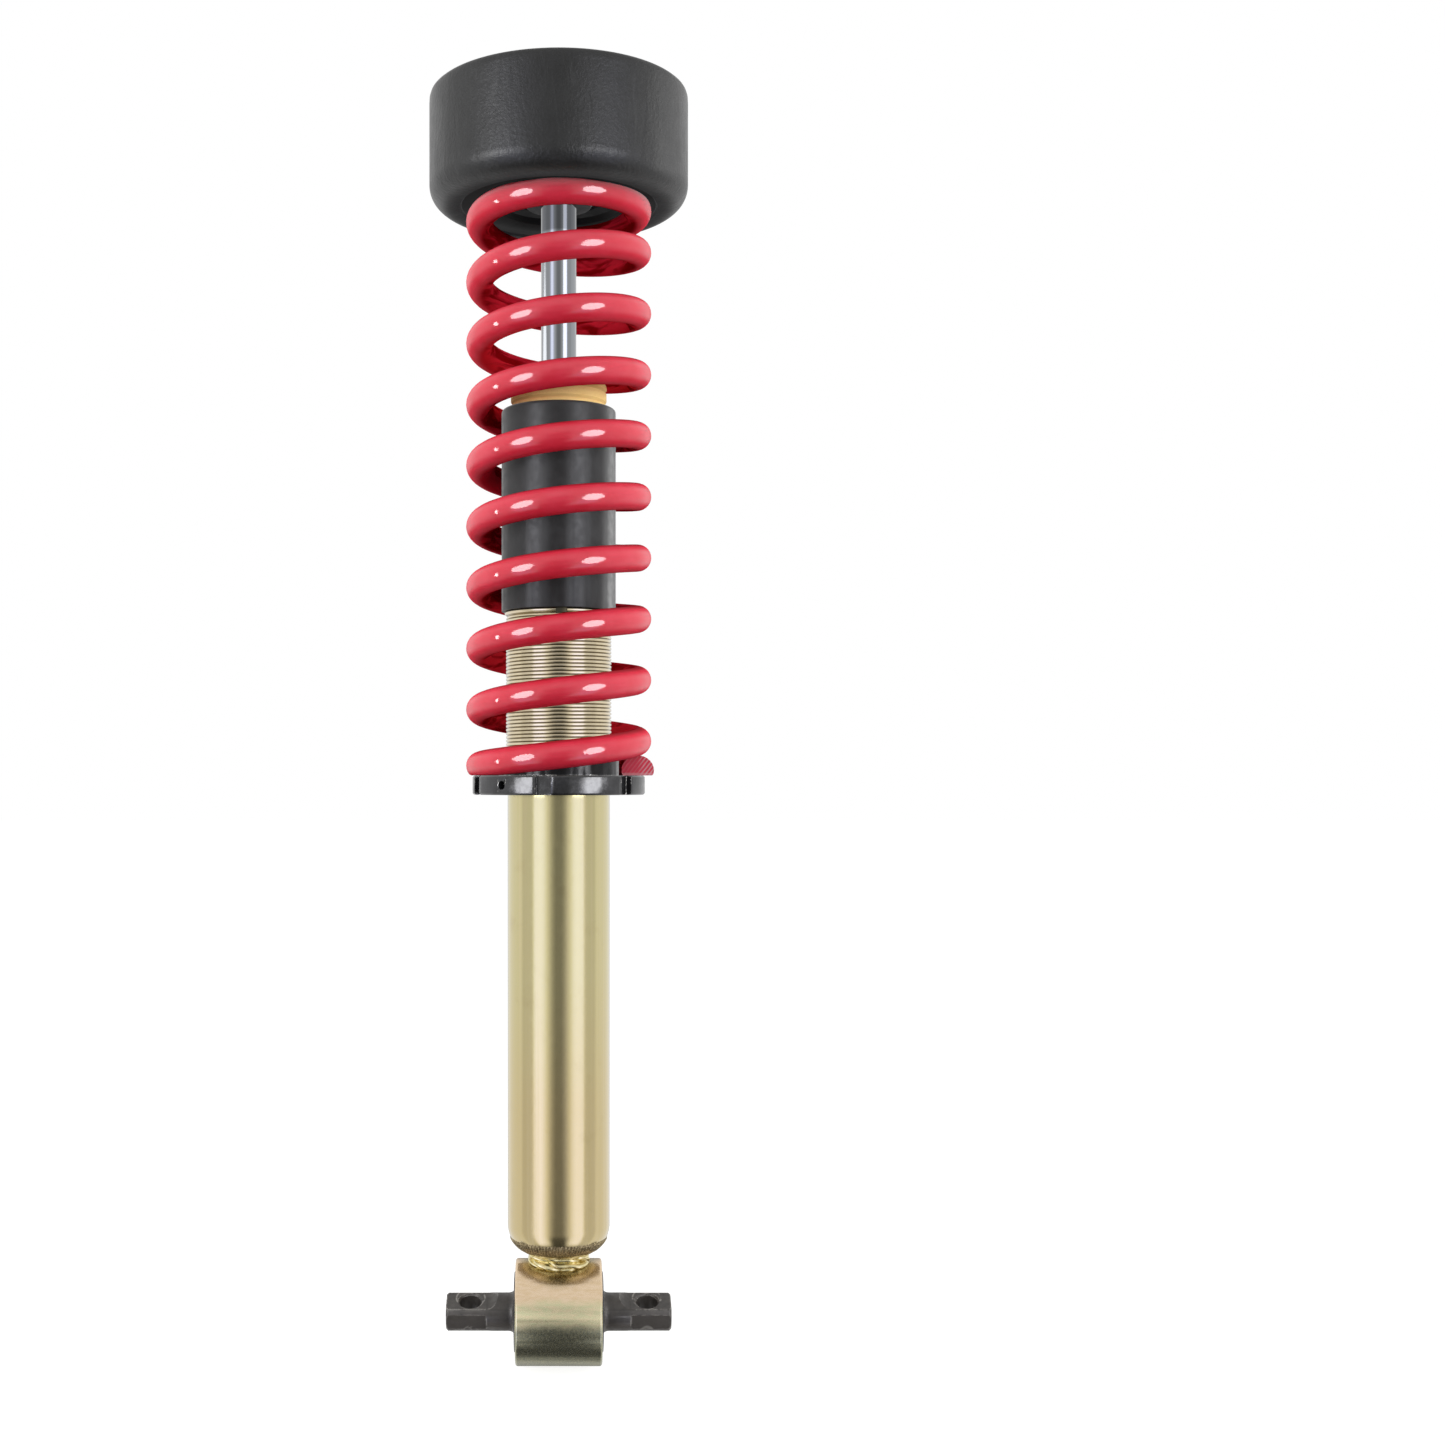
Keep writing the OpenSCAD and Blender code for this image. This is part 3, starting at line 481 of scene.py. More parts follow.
def worn_casing(g, tone, skin, grain):
    """The casing's rubber: upright scuffs, pale specks, coarse grain, creases, and a duller, dark band round
    the pocket, whose darkness is painted shade.
    """
    rim_from, rim_to, rim_top = POCKET_R + 0.85, MOUNT_R - 4.0, SKIRT_Z + 13.8
    scuffs = g.span(g.noise(90.0, 4.0, 0.6, g.mapped((1.0, 1.0, 0.22)), 1.2), 0.55, 0.78)
    tone = g.mix(g.times(scuffs, 0.3), tone, srgb(84, 84, 85))
    specks = g.times(g.span(g.cells(700.0), 0.0, 0.12, 1.0, 0.0), g.span(g.noise(50.0, 3.0), 0.5, 0.7))
    tone = g.mix(g.times(specks, 0.6), tone, srgb(150, 150, 150))
    coarse = g.noise(560.0, 4.0, 0.65)
    tone = g.mix(g.span(coarse, 0.3, 0.7, 0.0, 0.35), tone, srgb(22, 22, 22))
    # dark and duller round the pocket: painted shade
    rim = g.span(g.radius(), rim_from * MM, rim_to * MM, 0.85, 0.0)
    rim = g.times(rim, g.calc("LESS_THAN", g.axis("Z"), rim_top * MM))
    tone = g.mix(rim, tone, srgb(8, 8, 8))
    creases = g.noise(130.0, 3.0, 0.6, g.mapped((1.0, 1.0, 0.35)), 1.0)
    grain = g.bump(creases, 0.0007, 0.35, g.bump(coarse, 0.0003, 0.7, grain))
    return tone, g.plus(skin, g.times(rim, 0.6)), grain


def rubber(slot, base, light, rough, level=0.5, wear=None):
    """Moulded rubber: satin, a little dusty in patches. Wear changes its tone, roughness and grain."""
    g = Surface(slot, base, rough, Specular_IOR_Level=level)
    tone = g.mix(g.span(g.noise(40.0, 5.0, 0.6), 0.35, 0.75), base, light)
    skin = g.span(g.noise(90.0, 2.0), 0.3, 0.7, rough - 0.03, rough + 0.04)
    grain = g.bump(g.noise(1600.0, 3.0), 0.00004, 0.4)
    if wear:
        tone, skin, grain = wear(g, tone, skin, grain)
    g.set("Base Color", tone)
    g.set("Roughness", skin)
    g.set("Normal", g.bump(g.noise(60.0, 2.0), 0.0003, 0.15, grain))


def turned_metal(slot, base, light, rough):
    """Machined or plated metal with turning marks and handling stains."""
    g = Surface(slot, base, rough, 1.0)
    g.set("Base Color", g.mix(g.span(g.noise(130.0, 5.0, 0.6), 0.3, 0.75), base, light))
    g.set("Roughness", g.span(g.noise(350.0, 3.0), 0.3, 0.7, rough - 0.06, rough + 0.1))
    turned = g.bump(g.bands(900.0, 0.3), 0.00002, 0.35)
    g.set("Normal", g.bump(g.noise(1100.0, 2.0), 0.00003, 0.3, turned))


zinc_plate()
eye_plate()
weld_plate()
dome_skin()
forging()
paint()
cut_face()
chrome()
anodised()
foam()

satin_black("sleeve_black", srgb(42, 42, 43), srgb(46, 46, 47), 0.36, 0.3)
# near black: painted shade on the washer inside the mount
satin_black("washer_black", srgb(20, 20, 22), srgb(34, 34, 36), 0.45, 0.15)
satin_black("mount_steel", srgb(34, 34, 36), srgb(46, 46, 48), 0.5, 0.3)
# nearer black than the plate's steel: painted shade inside the mount
satin_black("hub_black", srgb(12, 12, 13), srgb(20, 20, 21), 0.6, 0.05)
satin_black("band_plastic", srgb(66, 74, 66), srgb(84, 92, 82), 0.5)

rubber("mount_rubber", srgb(37, 37, 37), srgb(43, 43, 43), 0.35, 0.42, worn_casing)
# darker than the casing: painted shade in the pocket
rubber("pad_rubber", srgb(22, 22, 22), srgb(30, 30, 30), 0.7, 0.1)
rubber("bush_rubber", srgb(40, 40, 41), srgb(54, 54, 55), 0.6)
rubber("seal_rubber", srgb(34, 34, 35), srgb(44, 44, 45), 0.5)
rubber("stop_urethane", srgb(206, 112, 48), srgb(222, 134, 66), 0.45)

turned_metal("shell_steel", srgb(150, 150, 152), srgb(176, 176, 178), 0.34)
turned_metal("ring_steel", srgb(60, 56, 50), srgb(92, 88, 80), 0.38)
turned_metal("machined_alloy", srgb(206, 208, 212), srgb(224, 226, 228), 0.26)
turned_metal("bearing_bronze", srgb(184, 146, 96), srgb(206, 170, 116), 0.34)
turned_metal("screw_steel", srgb(74, 74, 76), srgb(98, 98, 100), 0.36)
turned_metal("piston_steel", srgb(160, 162, 166), srgb(186, 188, 192), 0.36)
turned_metal("shim_steel", srgb(190, 194, 202), srgb(208, 212, 218), 0.2)
turned_metal("zinc_steel", srgb(178, 180, 184), srgb(204, 206, 208), 0.28)


def dress_cad():
    """Each CAD node wears its slot's material; the eye and the hub have looks of their own, the hub's near
    black being painted shade.
    """
    own_looks = {"lower_eye": "eye_plate", "mount_hub": "hub_black"}
    for subpart in frame["record"]["subparts"]:
        look = own_looks.get(subpart["node"], subpart["material_slot"])
        for slot in frame["nodes"][subpart["node"]].material_slots:
            slot.link = "OBJECT"
            slot.material = materials[look]


dress_cad()


# ---- meshes: points in millimetres ----

def piece(name, points, faces, looks, body, over, sharp, face_looks=None):
    """A mesh object in metres that rides on a body and stands for the CAD nodes in over."""
    mesh = bpy.data.meshes.new(name)
    mesh.from_pydata([(x * MM, y * MM, z * MM) for x, y, z in points], [], faces)
    for look in looks:
        mesh.materials.append(materials[look])
    if face_looks:
        for face, look in zip(mesh.polygons, face_looks):
            face.material_index = look
    mesh.validate()
    mesh.shade_smooth()
    mesh.set_sharp_from_angle(angle=math.radians(sharp))
    made = bpy.data.objects.new(name, mesh)
    bpy.context.collection.objects.link(made)
    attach(made, body)
    if over:
        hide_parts(*over)
    return made


def arc(r, z, radius, start, end, steps):
    """Points of an arc in the half plane; angles in degrees from straight out, turning up."""
    turns = [math.radians(start + (end - start) * i / steps) for i in range(steps + 1)]
    return [(r + radius * math.cos(turn), z + radius * math.sin(turn)) for turn in turns]


def wall_faces(rows, sides, up=True):
    """Faces between rings of points, one ring to a row; the rows run up the wall, or along a tube."""
    faces = []
    for i in range(rows - 1):
        for k in range(sides):
            a, b = i * sides + k, i * sides + (k + 1) % sides
            faces.append((a, b, b + sides, a + sides) if up else (a, a + sides, b + sides, b))
    return faces


def lathe(profile, sides):
    """Points and faces of a turned ring; its profile runs round the section."""
    count = len(profile)
    points, faces = [], []
    for i in range(sides):
        turn = 2 * math.pi * i / sides
        points += [(r * math.cos(turn), r * math.sin(turn), z) for r, z in profile]
        here, there = i * count, (i + 1) % sides * count
        for k in range(count):
            m = (k + 1) % count
            faces.append((here + k, there + k, there + m, here + m))
    return points, faces


# one thread's section: shares of the pitch and of the depth
THREAD_FORM = ((0.0, 0.0), (0.06, 0.0), (0.24, 0.9), (0.38, 1.0), (0.68, 1.0), (0.82, 0.9))


def threaded(sections, sides):
    """Points and faces of a turned wall that has stretches of real helical thread.

    A section is a list of (r, z) points, or (z0, z1, root, crest, pitch) for a thread between two heights.
    Rows of a thread climb by one pitch in a turn, so at the seam each one meets the row a turn later."""
    rows, met_at_seam = [], []
    for section in sections:
        if isinstance(section, list):
            for point in section:
                met_at_seam.append(len(rows))
                rows.append([point] * sides)
            continue
        z0, z1, root, crest, pitch = section
        low, high = min(z0, z1), max(z0, z1)
        way = 1 if z1 > z0 else -1
        turns = math.ceil((high - low) / pitch) + 2
        first, last = len(rows), len(rows) + turns * len(THREAD_FORM) - 1
        for turn in range(-1, turns - 1):
            for phase, rise in THREAD_FORM:
                met_at_seam.append(min(max(len(rows) + way * len(THREAD_FORM), first), last))
                row = []
                for i in range(sides):
                    share = i / sides if way > 0 else 1 - i / sides
                    z = min(max(z0 + way * pitch * (turn + phase + share), low), high)
                    fade = min(1.0, (z - low) / pitch, (high - z) / pitch)
                    row.append((root + (crest - root) * rise * fade, z))
                rows.append(row)
    points, faces = [], []
    for row in rows:
        for i, (r, z) in enumerate(row):
            turn = 2 * math.pi * (i / sides)
            points.append((r * math.cos(turn), r * math.sin(turn), z))
    for k in range(len(rows) - 1):
        here, there = k * sides, (k + 1) * sides
        faces += [(here + i, here + i + 1, there + i + 1, there + i) for i in range(sides - 1)]
        faces.append((there - 1, met_at_seam[k] * sides, met_at_seam[k + 1] * sides, there + sides - 1))
    return points, faces


# ---- coil spring ----

GROUND_LEN = SPRING_LEN - 2 * GRIND
PITCH = (GROUND_LEN - 2 * DEAD_RISE) / (TURNS - 2)
END_TURNS = 1.5 * (1 - DEAD_RISE / PITCH)


def end_rise(turn):
    """Rise of the wire in an end turn, which starts level."""
    return PITCH * END_TURNS * (turn / END_TURNS) ** 3 / 3


def coil_rise(turn):
    """Rise of the wire's middle after a number of turns from the lower tip."""
    if turn < END_TURNS:
        return end_rise(turn)
    if turn > TURNS - END_TURNS:
        return GROUND_LEN - end_rise(TURNS - turn)
    return PITCH * (turn - 2 * END_TURNS / 3)


def wound_spring():
    """Round wire along the coil, flattened where its ends are ground, and spread at the cropped tip."""
    sides, rings_per_turn = 28, 72
    tip_spread, tip_turns = 0.2, 0.018
    steps = int(TURNS * rings_per_turn)
    points = []
    for i in range(steps + 1):
        turn = TURNS * i / steps
        climb = min(1.0, min(turn, TURNS - turn) / END_TURNS) ** 2
        taller = math.sqrt(1 + (PITCH * climb / (2 * math.pi * COIL_R)) ** 2)      # a sloping wire's section
        spread = tip_spread * max(0.0, 1.0 - turn / tip_turns) ** 2
        angle = TIP_ANGLE + 2 * math.pi * turn
        middle = SPRING_Z + GRIND + coil_rise(turn)
        for k in range(sides):
            a = 2 * math.pi * k / sides
            r = COIL_R + WIRE_R * (1 + spread) * math.cos(a)
            z = middle + WIRE_R * (1 + spread / 2) * taller * math.sin(a)
            z = min(max(z, SPRING_Z), SPRING_Z + SPRING_LEN)
            points.append((r * math.cos(angle), r * math.sin(angle), z))
    faces = wall_faces(steps + 1, sides, up=False)
    face_looks = [0] * len(faces) + [1, 1]
    faces.append(tuple(range(sides)))
    faces.append(tuple(range((steps + 1) * sides - 1, steps * sides - 1, -1)))
    return piece("spring_wire", points, faces, ["spring_red", "spring_cut"], "spring",
                 ["coil_spring"], 40.0, face_looks)


spring = wound_spring()
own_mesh(spring)


# ---- damper body, its foot and its weld ----

def damper_body():
    """The tube with its rounded foot and its bore, and a real thread with run-outs."""
    below_centre = CORNER_Z - TUBE_Z
    flat_r = CORNER_R + math.sqrt(CORNER ** 2 - below_centre ** 2)
    inner = CORNER - (TUBE_R - BORE_R)
    foot = [(0.0, TUBE_Z), (flat_r * 0.5, TUBE_Z)]
    foot += arc(CORNER_R, CORNER_Z, CORNER, -math.degrees(math.asin(below_centre / CORNER)), 0, 16)
    wall = [foot + [(TUBE_R, THREAD_Z - 0.4)],
            (THREAD_Z, THREAD_TOP, TUBE_R, THREAD_R, THREAD_PITCH),
            [(TUBE_R, THREAD_TOP + 0.3), (TUBE_R, TUBE_TOP - 0.4), (TUBE_R - 0.4, TUBE_TOP),
             (BORE_R + 0.3, TUBE_TOP), (BORE_R, TUBE_TOP - 0.3), (BORE_R, CORNER_Z)],
            arc(CORNER_R, CORNER_Z, inner, 0, -60, 8) + [(0.0, CORNER_Z - inner + 2.0)]]
    points, faces = threaded(wall, 96)
    piece("threaded_body", points, faces, ["gold_zinc"], "damper", ["damper_tube"], 38.0)


def foot_band():
    """The dark serrated band where the body's foot was spun shut, a skin on the dome."""
    teeth, rows = 92, 11
    tooth_form = (0.0, 0.75, 1.0, 0.75)
    low, high, tip = -52, -24, 2.2              # degrees on the dome's rounding, and how far the teeth run up
    sunk, skin, tooth_h = -0.05, 0.06, 0.42
    sides = len(tooth_form) * teeth
    points = []
    for i in range(rows):
        share = i / (rows - 1)
        for k in range(sides):
            tooth = tooth_form[k % len(tooth_form)]
            turn = 2 * math.pi * (k + 2.0 * share) / sides
            angle = math.radians(low + (high - low) * share + tip * tooth * (i == rows - 1))
            lift = sunk if i in (0, rows - 1) else skin + tooth_h * tooth * min(1.0, 0.3 + share)
            r = CORNER_R + (CORNER + lift) * math.cos(angle)
            z = CORNER_Z + (CORNER + lift) * math.sin(angle)
            points.append((r * math.cos(turn), r * math.sin(turn), z))
    piece("foot_band", points, wall_faces(rows, sides), ["dome_skin"], "damper", [], 60.0)


def weld_bead():
    """Two overlapping laps of weld, wound like rope, from the eye's crown up to the foot.

    The bead is squarish seen from above, and narrower across the eye than along it."""
    sides, rows = 360, 56
    ropes, twist, laps, flatness = 6, 1.3, 1.7, 0.6
    squareness, narrow = 2.8, 0.84
    bead_r, lap_h, rope_h, flare = 12.3, 1.3, 1.8, 0.6
    into_eye, into_foot = 0.25, 0.35
    points = []
    for i in range(rows):
        v = i / (rows - 1)
        for k in range(sides):
            turn = 2 * math.pi * k / sides
            sway = 0.22 * math.sin(3 * turn + 0.7) + 0.12 * math.sin(7 * turn)
            rope = abs(math.sin(math.pi * (ropes * turn / (2 * math.pi) + twist * v + sway))) ** flatness
            lap = abs(math.sin(math.pi * (laps * v + 0.1 + 0.2 * math.sin(turn + 0.6)))) ** flatness
            square = abs(math.cos(turn)) ** squareness + abs(math.sin(turn) / narrow) ** squareness
            reach = bead_r + lap_h * lap + rope_h * rope * (0.6 + 0.4 * lap) + flare * max(0.0, 0.5 - v)
            r = square ** (-1 / squareness) * reach
            x, y = r * math.cos(turn), r * math.sin(turn)
            crown = math.sqrt(EYE_R ** 2 - y ** 2) - into_eye
            points.append((x, y, crown + (TUBE_Z + into_foot - crown) * v))
    return piece("weld_ropes", points, wall_faces(rows, sides), ["weld_gold"], "damper",
                 ["eye_weld"], 70.0)


damper_body()
foot_band()
weld_ropes = weld_bead()


# ---- bump stop and rod ----

def bump_foam():
    """The foam stop: a rounded foot, two rolled grooves and a tapered crown."""
    r, z, waist, bore = BUMP_R, TUBE_TOP, BUMP_R - 0.5, ROD_R + 1
    top = z + FOAM_H
    profile = [(bore, z), (r - 0.5, z), (r - 0.1, z + 0.5), (r, z + 3.0), (r - 0.1, z + 5.6)]
    for groove in (z + 7.6, z + 13.4):
        profile += [(waist - 0.1, groove - 1.2), (waist - 0.7, groove - 0.6), (waist - 1.0, groove),
                    (waist - 0.7, groove + 0.6), (waist - 0.1, groove + 1.2)]
    profile += [(waist, top - 9.6), (waist - 0.25, top - 8.2), (waist - 1.6, top - 6.0),
                (waist - 3.8, top - 3.2), (waist - 5.2, top - 1.3), (waist - 6.8, top - 0.2),
                (waist - 7.6, top), (bore + 2, top), (bore + 0.4, top - 0.8), (bore, top - 3)]
    points, faces = lathe(profile, 160)
    return piece("foam_stop", points, faces, ["bump_foam"], "damper", ["bump_stop"], 60.0)


def rod():
    """The chromed rod: threaded post for the piston, shoulder, polished length and threaded upper stud."""
    post_root, post_thread_top, post_pitch = 5.3, 318.4, 1.25
    stud_root, stud_thread_z, stud_pitch = 6.2, 585.0, 1.5
    end = [(0.0, ROD_END), (post_root - 0.3, ROD_END), (post_root, ROD_END + 0.4)]
    post_thread = (ROD_END + 0.6, post_thread_top, post_root, POST_R, post_pitch)
    shaft = [(POST_R, post_thread_top + 0.6), (POST_R, SHOULDER_Z), (ROD_R, SHOULDER_Z),
             (ROD_R, SEAT_Z - 1.0), (ROD_R - 1.0, SEAT_Z), (STUD_R, SEAT_Z), (STUD_R, stud_thread_z - 1.0)]
    stud_thread = (stud_thread_z, ROD_TOP - 0.9, stud_root, STUD_R, stud_pitch)
    tip = [(stud_root, ROD_TOP - 0.8), (stud_root - 0.6, ROD_TOP), (0.0, ROD_TOP)]
    points, faces = threaded([end, post_thread, shaft, stud_thread, tip], 72)
    return piece("rod_turned", points, faces, ["rod_chrome"], "rod", ["piston_rod"], 34.0)


foam_stop = bump_foam()
chromed_rod = rod()


# ---- rubber bushes ----

def eye_bush():
    """Rubber between shell and barrel, along X, with soft lips that stand out of the eye."""
    half, face, bore = EYE_HALF, EYE_HALF + 0.78, BARREL_R + 0.06
    side = [(bore, half - 1.5), (bore, face - 0.3), (BARREL_R + 0.6, face), (13.4, face - 0.1),
            (14.6, half - 0.7), (16.2, half - 0.9), (17.6, half - 0.1), (18.4, face - 0.1),
            (19.2, face - 0.15), (19.8, half + 0.1), (RUBBER_R - 0.02, half - 0.4)]
    points, faces = lathe(side + [(r, -z) for r, z in reversed(side)], 128)
    points = [(z, y, x) for x, y, z in points]
    return piece("eye_bush", points, faces, ["bush_rubber"], "damper", ["bush_rubber"], 60.0)


def rod_bushing(name, low, cad):
    """A rubber cushion of the rod fixing, slightly barrelled, with rounded corners."""
    r0, r1, high, clear = CUSHION_BORE, CUSHION_R, low + CUSHION_H, 0.02
    profile = [(r0, low + 1.0), (r0 + 1.0, low + clear), (r1 - 2.2, low + clear), (r1 - 1.2, low + 0.4),
               (r1 - 0.5, low + 1.4), (r1 - 0.1, low + 3.6), (r1, low + 6.5), (r1 - 0.1, high - 3.6),
               (r1 - 0.5, high - 1.4), (r1 - 1.2, high - 0.4), (r1 - 2.2, high - clear),
               (r0 + 1.0, high - clear), (r0, high - 1.0)]
    points, faces = lathe(profile, 96)
    return piece(name, points, faces, ["bush_rubber"], "rod_bushes", [cad], 60.0)


bush = eye_bush()
lower_cushion = rod_bushing("lower_cushion", LOWER_CUSHION_Z, "lower_rod_bush")
rod_bushing("upper_cushion", UPPER_CUSHION_Z, "upper_rod_bush")


# ---- top mount ----

def casing():
    """The moulded casing: pocket, soft lower edge, plain wall, flat rim and the recess over the plate."""
    r, clear = MOUNT_R, 0.02
    wall_rings = (575.0, 583.0, 590.0, 602.0)       # they keep the roundings' shading off the plain wall
    profile = [(POCKET_R, SKIRT_Z + 0.8), (POCKET_R + 0.8, SKIRT_Z)]
    profile += arc(r - CASING_ROUND, SKIRT_Z + CASING_ROUND, CASING_ROUND, -90, 0, 22)
    profile += [(r, z) for z in wall_rings]
    profile += [(r - 0.12, TOP_Z - 1.9), (r - 0.5, TOP_Z - 0.7), (r - 1.2, TOP_Z - 0.1),
                (r - 2.0, TOP_Z - clear), (PLATE_R + 0.5, TOP_Z - clear), (PLATE_R, TOP_Z - 0.5),
                (PLATE_R, PLATE_Z), (HUB_R, PLATE_Z), (HUB_R, FLANGE_Z + HUB_T),
                (FLANGE_R, FLANGE_Z + HUB_T), (FLANGE_R, FLANGE_Z), (POCKET_R, FLANGE_Z)]
    points, faces = lathe(profile, 192)
    return piece("casing_skin", points, faces, ["mount_rubber"], "mount",
                 ["mount_casing"], 40.0)


def pad():
    """The spring's rubber pad in the casing's pocket."""
    inner, outer, top = 30.75, POCKET_R - 0.05, FLANGE_Z - 0.02
    profile = [(inner, SEAT_Z + 0.4), (inner + 0.5, SEAT_Z), (outer - 0.3, SEAT_Z), (outer, SEAT_Z + 0.3),
               (outer, top), (inner, top)]
    points, faces = lathe(profile, 128)
    return piece("seat_pad", points, faces, ["pad_rubber"], "mount", ["spring_pad"], 50.0)


def inserts():
    """Three steel inserts with a real inside thread."""
    r, z, root, crest, pitch = INSERT_R, INSERT_Z, 4.95, 4.25, 1.5
    wall = [[(r, z + 0.2), (r, TOP_Z - 0.3), (r - 0.3, TOP_Z), (root + 0.45, TOP_Z), (root, TOP_Z - 0.5)],
            (TOP_Z - 0.6, z + 0.3, root, crest, pitch),
            [(root, z + 0.1), (root + 0.25, z), (r - 0.2, z), (r, z + 0.2)]]
    ring, ring_faces = threaded(wall, 64)
    points, faces = [], []
    for turn in (90, 210, 330):
        x, y = INSERT_CIRCLE * math.cos(math.radians(turn)), INSERT_CIRCLE * math.sin(math.radians(turn))
        start = len(points)
        points += [(px + x, py + y, pz) for px, py, pz in ring]
        faces += [tuple(start + v for v in face) for face in ring_faces]
    piece("tapped_inserts", points, faces, ["zinc_steel"], "mount", ["mount_inserts"], 34.0)


mount_casing = casing()
seat_pad = pad()
inserts()


# ---- edges of the CAD nodes that stay ----

EDGE_WIDTHS = {"bar_pin": 0.35, "lower_eye": 0.45, "perch_ring": 0.25, "perch_screw": 0.1,
               "guide_sleeve": 0.2, "gland": 0.2, "piston": 0.15, "piston_nut": 0.4, "divider_piston": 0.2,
               "rod_nut": 0.4, "lower_washer": 0.3, "upper_washer": 0.3, "mount_hub": 0.6, "mount_plate": 0.4}


def soften(node, width):
    """A small bevel in place of a CAD node's knife edges."""
    weld = node.modifiers.new("weld", "WELD")
    weld.merge_threshold = 0.000002
    bevel = node.modifiers.new("bevel", "BEVEL")
    bevel.width = width * MM
    bevel.segments = 2
    bevel.limit_method = "ANGLE"
    bevel.angle_limit = math.radians(34)
    bevel.harden_normals = True
    bevel.use_clamp_overlap = True


for name, width in EDGE_WIDTHS.items():
    soften(frame["nodes"][name], width)


# ---- the spring and the mount stay out of the other pieces' reflections, which mirror the studio alone ----

unmirrored = [spring, mount_casing, seat_pad, lower_cushion]
unmirrored += [frame["nodes"][name] for name in ("mount_hub", "mount_plate", "lower_washer")]
for made in unmirrored:
    made.visible_glossy = False


# ---- stage ----

def stage_floor():
    """A floor that is white to the eye, dim to the object, and stays out of reflections."""
    reach = 12.0
    corners = [(-reach, -reach), (reach, -reach), (reach, reach), (-reach, reach)]
    mesh = bpy.data.meshes.new("floor")
    mesh.from_pydata([(x, y, FLOOR_Z * MM) for x, y in corners], [], [(0, 1, 2, 3)])
    g = Surface("floor_white", grey(0.48), 1.0, Specular_IOR_Level=0.0)
    rays = g.node("ShaderNodeLightPath").outputs
    direct = g.calc("MAXIMUM", rays["Is Camera Ray"], rays["Is Transmission Ray"])
    g.set("Base Color", g.mix(rays["Is Camera Ray"], grey(0.16), grey(0.48)))
    g.set("Emission Color", grey(1.0))
    g.set("Emission Strength", g.times(direct, 0.82))
    mesh.materials.append(g.material)
    made = bpy.data.objects.new("floor", mesh)
    made.visible_glossy = False
    bpy.context.collection.objects.link(made)


def softbox(name, turn, distance, height, size_x, size_y, radiance):
    """A soft oval lamp at a turn (degrees) from the camera's side of the object, facing its axis."""
    data = bpy.data.lights.new(name, "AREA")
    data.shape = "ELLIPSE"
    data.size, data.size_y = size_x, size_y
    data.energy = radiance * math.pi ** 2 * size_x * size_y / 4
    lamp = bpy.data.objects.new(name, data)
    angle = math.radians(turn)
    lamp.location = (distance * math.sin(angle), -distance * math.cos(angle), height)
    lamp.rotation_euler = (math.radians(90), 0.0, angle)
    bpy.context.collection.objects.link(lamp)
    return lamp


def shine(name, receivers, *place, diffuse=False):
    """A softbox that reaches the gloss of some pieces only, and their own colour too with diffuse."""
    lamp = softbox(name, *place)
    lamp.visible_diffuse = diffuse
    lamp.light_linking.receiver_collection = bpy.data.collections.new(name)
    for receiver in receivers:
        lamp.light_linking.receiver_collection.objects.link(receiver)


def lamps():
    """Two pairs of soft lamps light everything. The others put the photo's highlights on single pieces,
    and the last one lights the foam stop, which the strand above it shades.

    Numbers: turn, distance, height, the lamp's width and height, radiance."""
    pin, eye, ring, screw, sleeve = [frame["nodes"][name] for name in
                                     ("bar_pin", "lower_eye", "perch_ring", "perch_screw", "guide_sleeve")]
    for side in (-1, 1):
        softbox("front", 42 * side, 1.7, 0.45, 1.0, 1.6, 1.7).visible_glossy = False
        softbox("flank", 84 * side, 1.7, 0.35, 1.2, 1.9, 4.2).visible_glossy = False
        shine("sheen", [pin, screw, sleeve, foam_stop, bush], 44 * side, 1.7, 0.37, 0.9, 1.5, 5.0)
        shine("sparkle", [spring, ring], 44 * side, 1.7, 0.37, 0.85, 1.5, 9.0)
    shine("right edge", [sleeve], 128, 1.7, 0.37, 0.8, 1.5, 3.0)
    shine("left rim", [mount_casing], -54, 1.7, 0.52, 0.75, 0.8, 9.0)
    shine("right rim", [mount_casing], 36, 1.7, 0.5, 0.75, 0.7, 6.5)
    shine("right side", [mount_casing], 100, 1.7, 0.6, 0.8, 1.5, 1.6)
    shine("glint", [spring], -80, 1.4, 0.12, 0.12, 0.6, 14.0)
    shine("low", [eye, weld_ropes], 0, 1.2, 0.13, 1.0, 0.4, 0.5)
    shine("rod left", [chromed_rod], -43.6, 1.7, 0.9, 0.5, 1.3, 0.9)
    shine("rod right", [chromed_rod], 42.2, 1.7, 0.9, 0.75, 1.3, 2.0)
    shine("rod rim", [chromed_rod], -105, 1.7, 0.6, 1.6, 0.8, 1.9)
    shine("foam", [foam_stop], 8, 1.4, 0.46, 0.9, 1.2, 3.0, diffuse=True)


def background(w, strength, colour=grey(1.0)):
    made = w.node("ShaderNodeBackground")
    w.put(colour, made.inputs["Color"])
    w.put(strength, made.inputs["Strength"])
    return made.outputs[0]


def choose(w, share, a, b):
    """Shader a where share is 0, b where it is 1."""
    made = w.node("ShaderNodeMixShader")
    for value, socket in zip((share, a, b), made.inputs):
        w.put(value, socket)
    return made.outputs[0]


# brightness at eye height, by the turn in degrees from the camera's side
STUDIO_LEVELS = ((0, 0.30), (6, 0.28), (13, 0.45), (20, 0.76), (27, 1.10), (34, 1.40), (42, 1.52),
                 (56, 1.45), (60, 1.0), (63, 0.80), (88, 0.78), (93, 0.98), (150, 1.0), (166, 0.8),
                 (174, 0.5), (180, 0.45))
BRIGHTEST = 2.0             # a ramp's colours stop at 1, so the levels are kept as shares of this


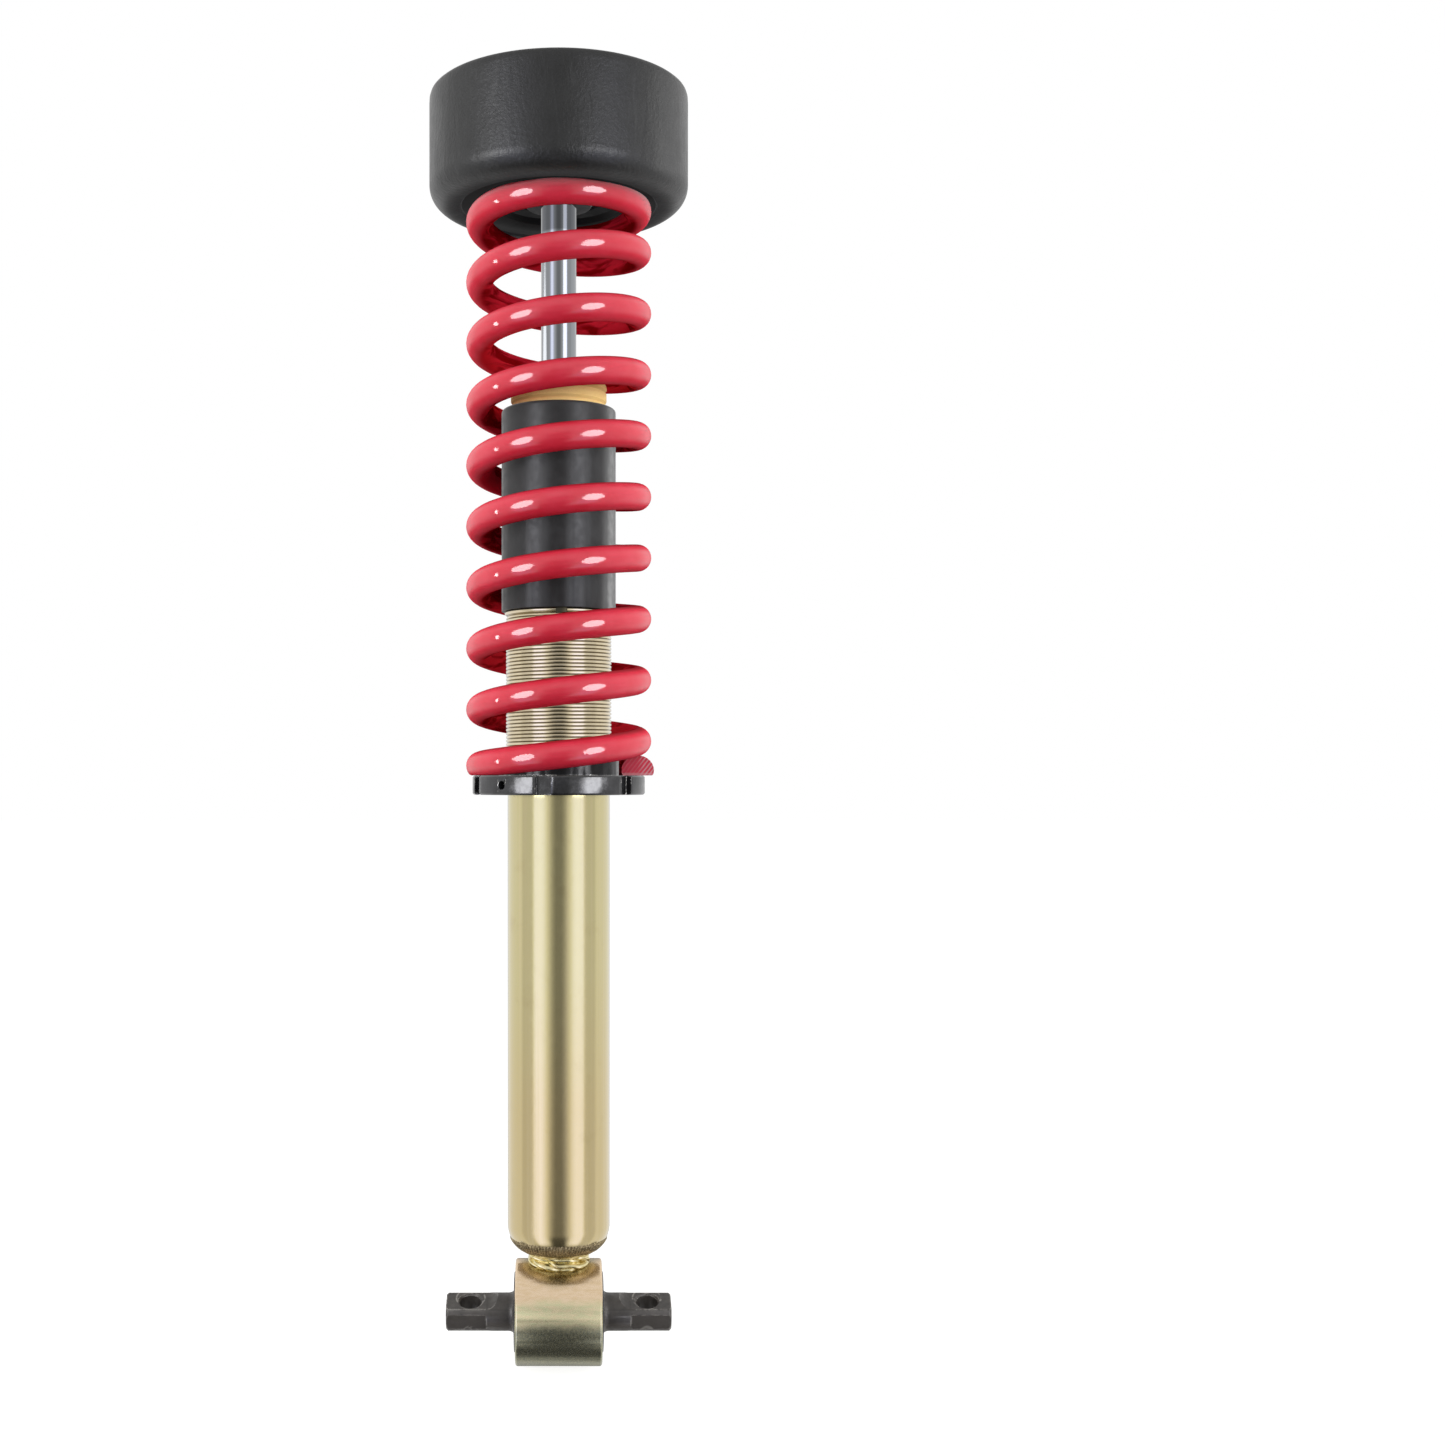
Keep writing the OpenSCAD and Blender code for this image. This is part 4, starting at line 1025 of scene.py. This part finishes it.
def studio_mirrored(w):
    """The studio in reflections: white behind and beside, two bright boxes, dim in front and low."""
    x, y, z = w.split(w.node("ShaderNodeTexCoord").outputs["Generated"])
    turn = w.calc("ABSOLUTE", w.calc("ARCTAN2", x, w.times(y, -1.0)))       # from the camera's side
    ramp = w.node("ShaderNodeValToRGB")
    w.put(w.calc("DIVIDE", turn, math.pi), ramp.inputs["Fac"])
    stops = ramp.color_ramp.elements            # a new ramp has its two ends
    for degrees, level in STUDIO_LEVELS[1:-1]:
        stops.new(degrees / 180)
    for stop, (degrees, level) in zip(stops, STUDIO_LEVELS):
        stop.color = grey(level / BRIGHTEST)
    around = w.times(ramp.outputs["Color"], BRIGHTEST)
    above = w.span(y, -0.8, 0.6, 0.88, 0.98)
    below = w.span(y, -0.1, 0.6, 0.09, 0.85)
    upper = w.blend(w.span(z, 0.1, 0.65), around, above)
    fall = w.times(z, -1.0)
    in_front, beside = w.span(fall, 0.15, 0.6), w.span(fall, 0.72, 0.92)        # where the low part starts
    strength = w.blend(w.blend(w.span(turn, 0.2, 0.5), in_front, beside), upper, below)
    cool = w.mix(w.span(strength, 1.0, 1.5), grey(1.0), (0.97, 1.0, 1.3, 1.0))
    return background(w, strength, cool)


def studio_world():
    """Even light for the object, the studio for its reflections, and plain white for the camera."""
    world = bpy.data.worlds.new("studio")
    scene.world = world
    world.use_nodes = True
    world.cycles.sampling_method = "NONE"
    w = Nodes(world.node_tree)
    height = w.calc("ABSOLUTE", w.split(w.node("ShaderNodeTexCoord").outputs["Generated"])["Z"])
    even = background(w, w.span(height, 0.25, 0.9, 0.62, 0.32))
    rays = w.node("ShaderNodeLightPath").outputs
    unseen = choose(w, rays["Is Glossy Ray"], even, studio_mirrored(w))
    direct = w.calc("MAXIMUM", rays["Is Camera Ray"], rays["Is Transmission Ray"])
    output = w.node("ShaderNodeOutputWorld")
    w.put(choose(w, direct, unseen, background(w, 1.0)), output.inputs["Surface"])


stage_floor()
lamps()
studio_world()
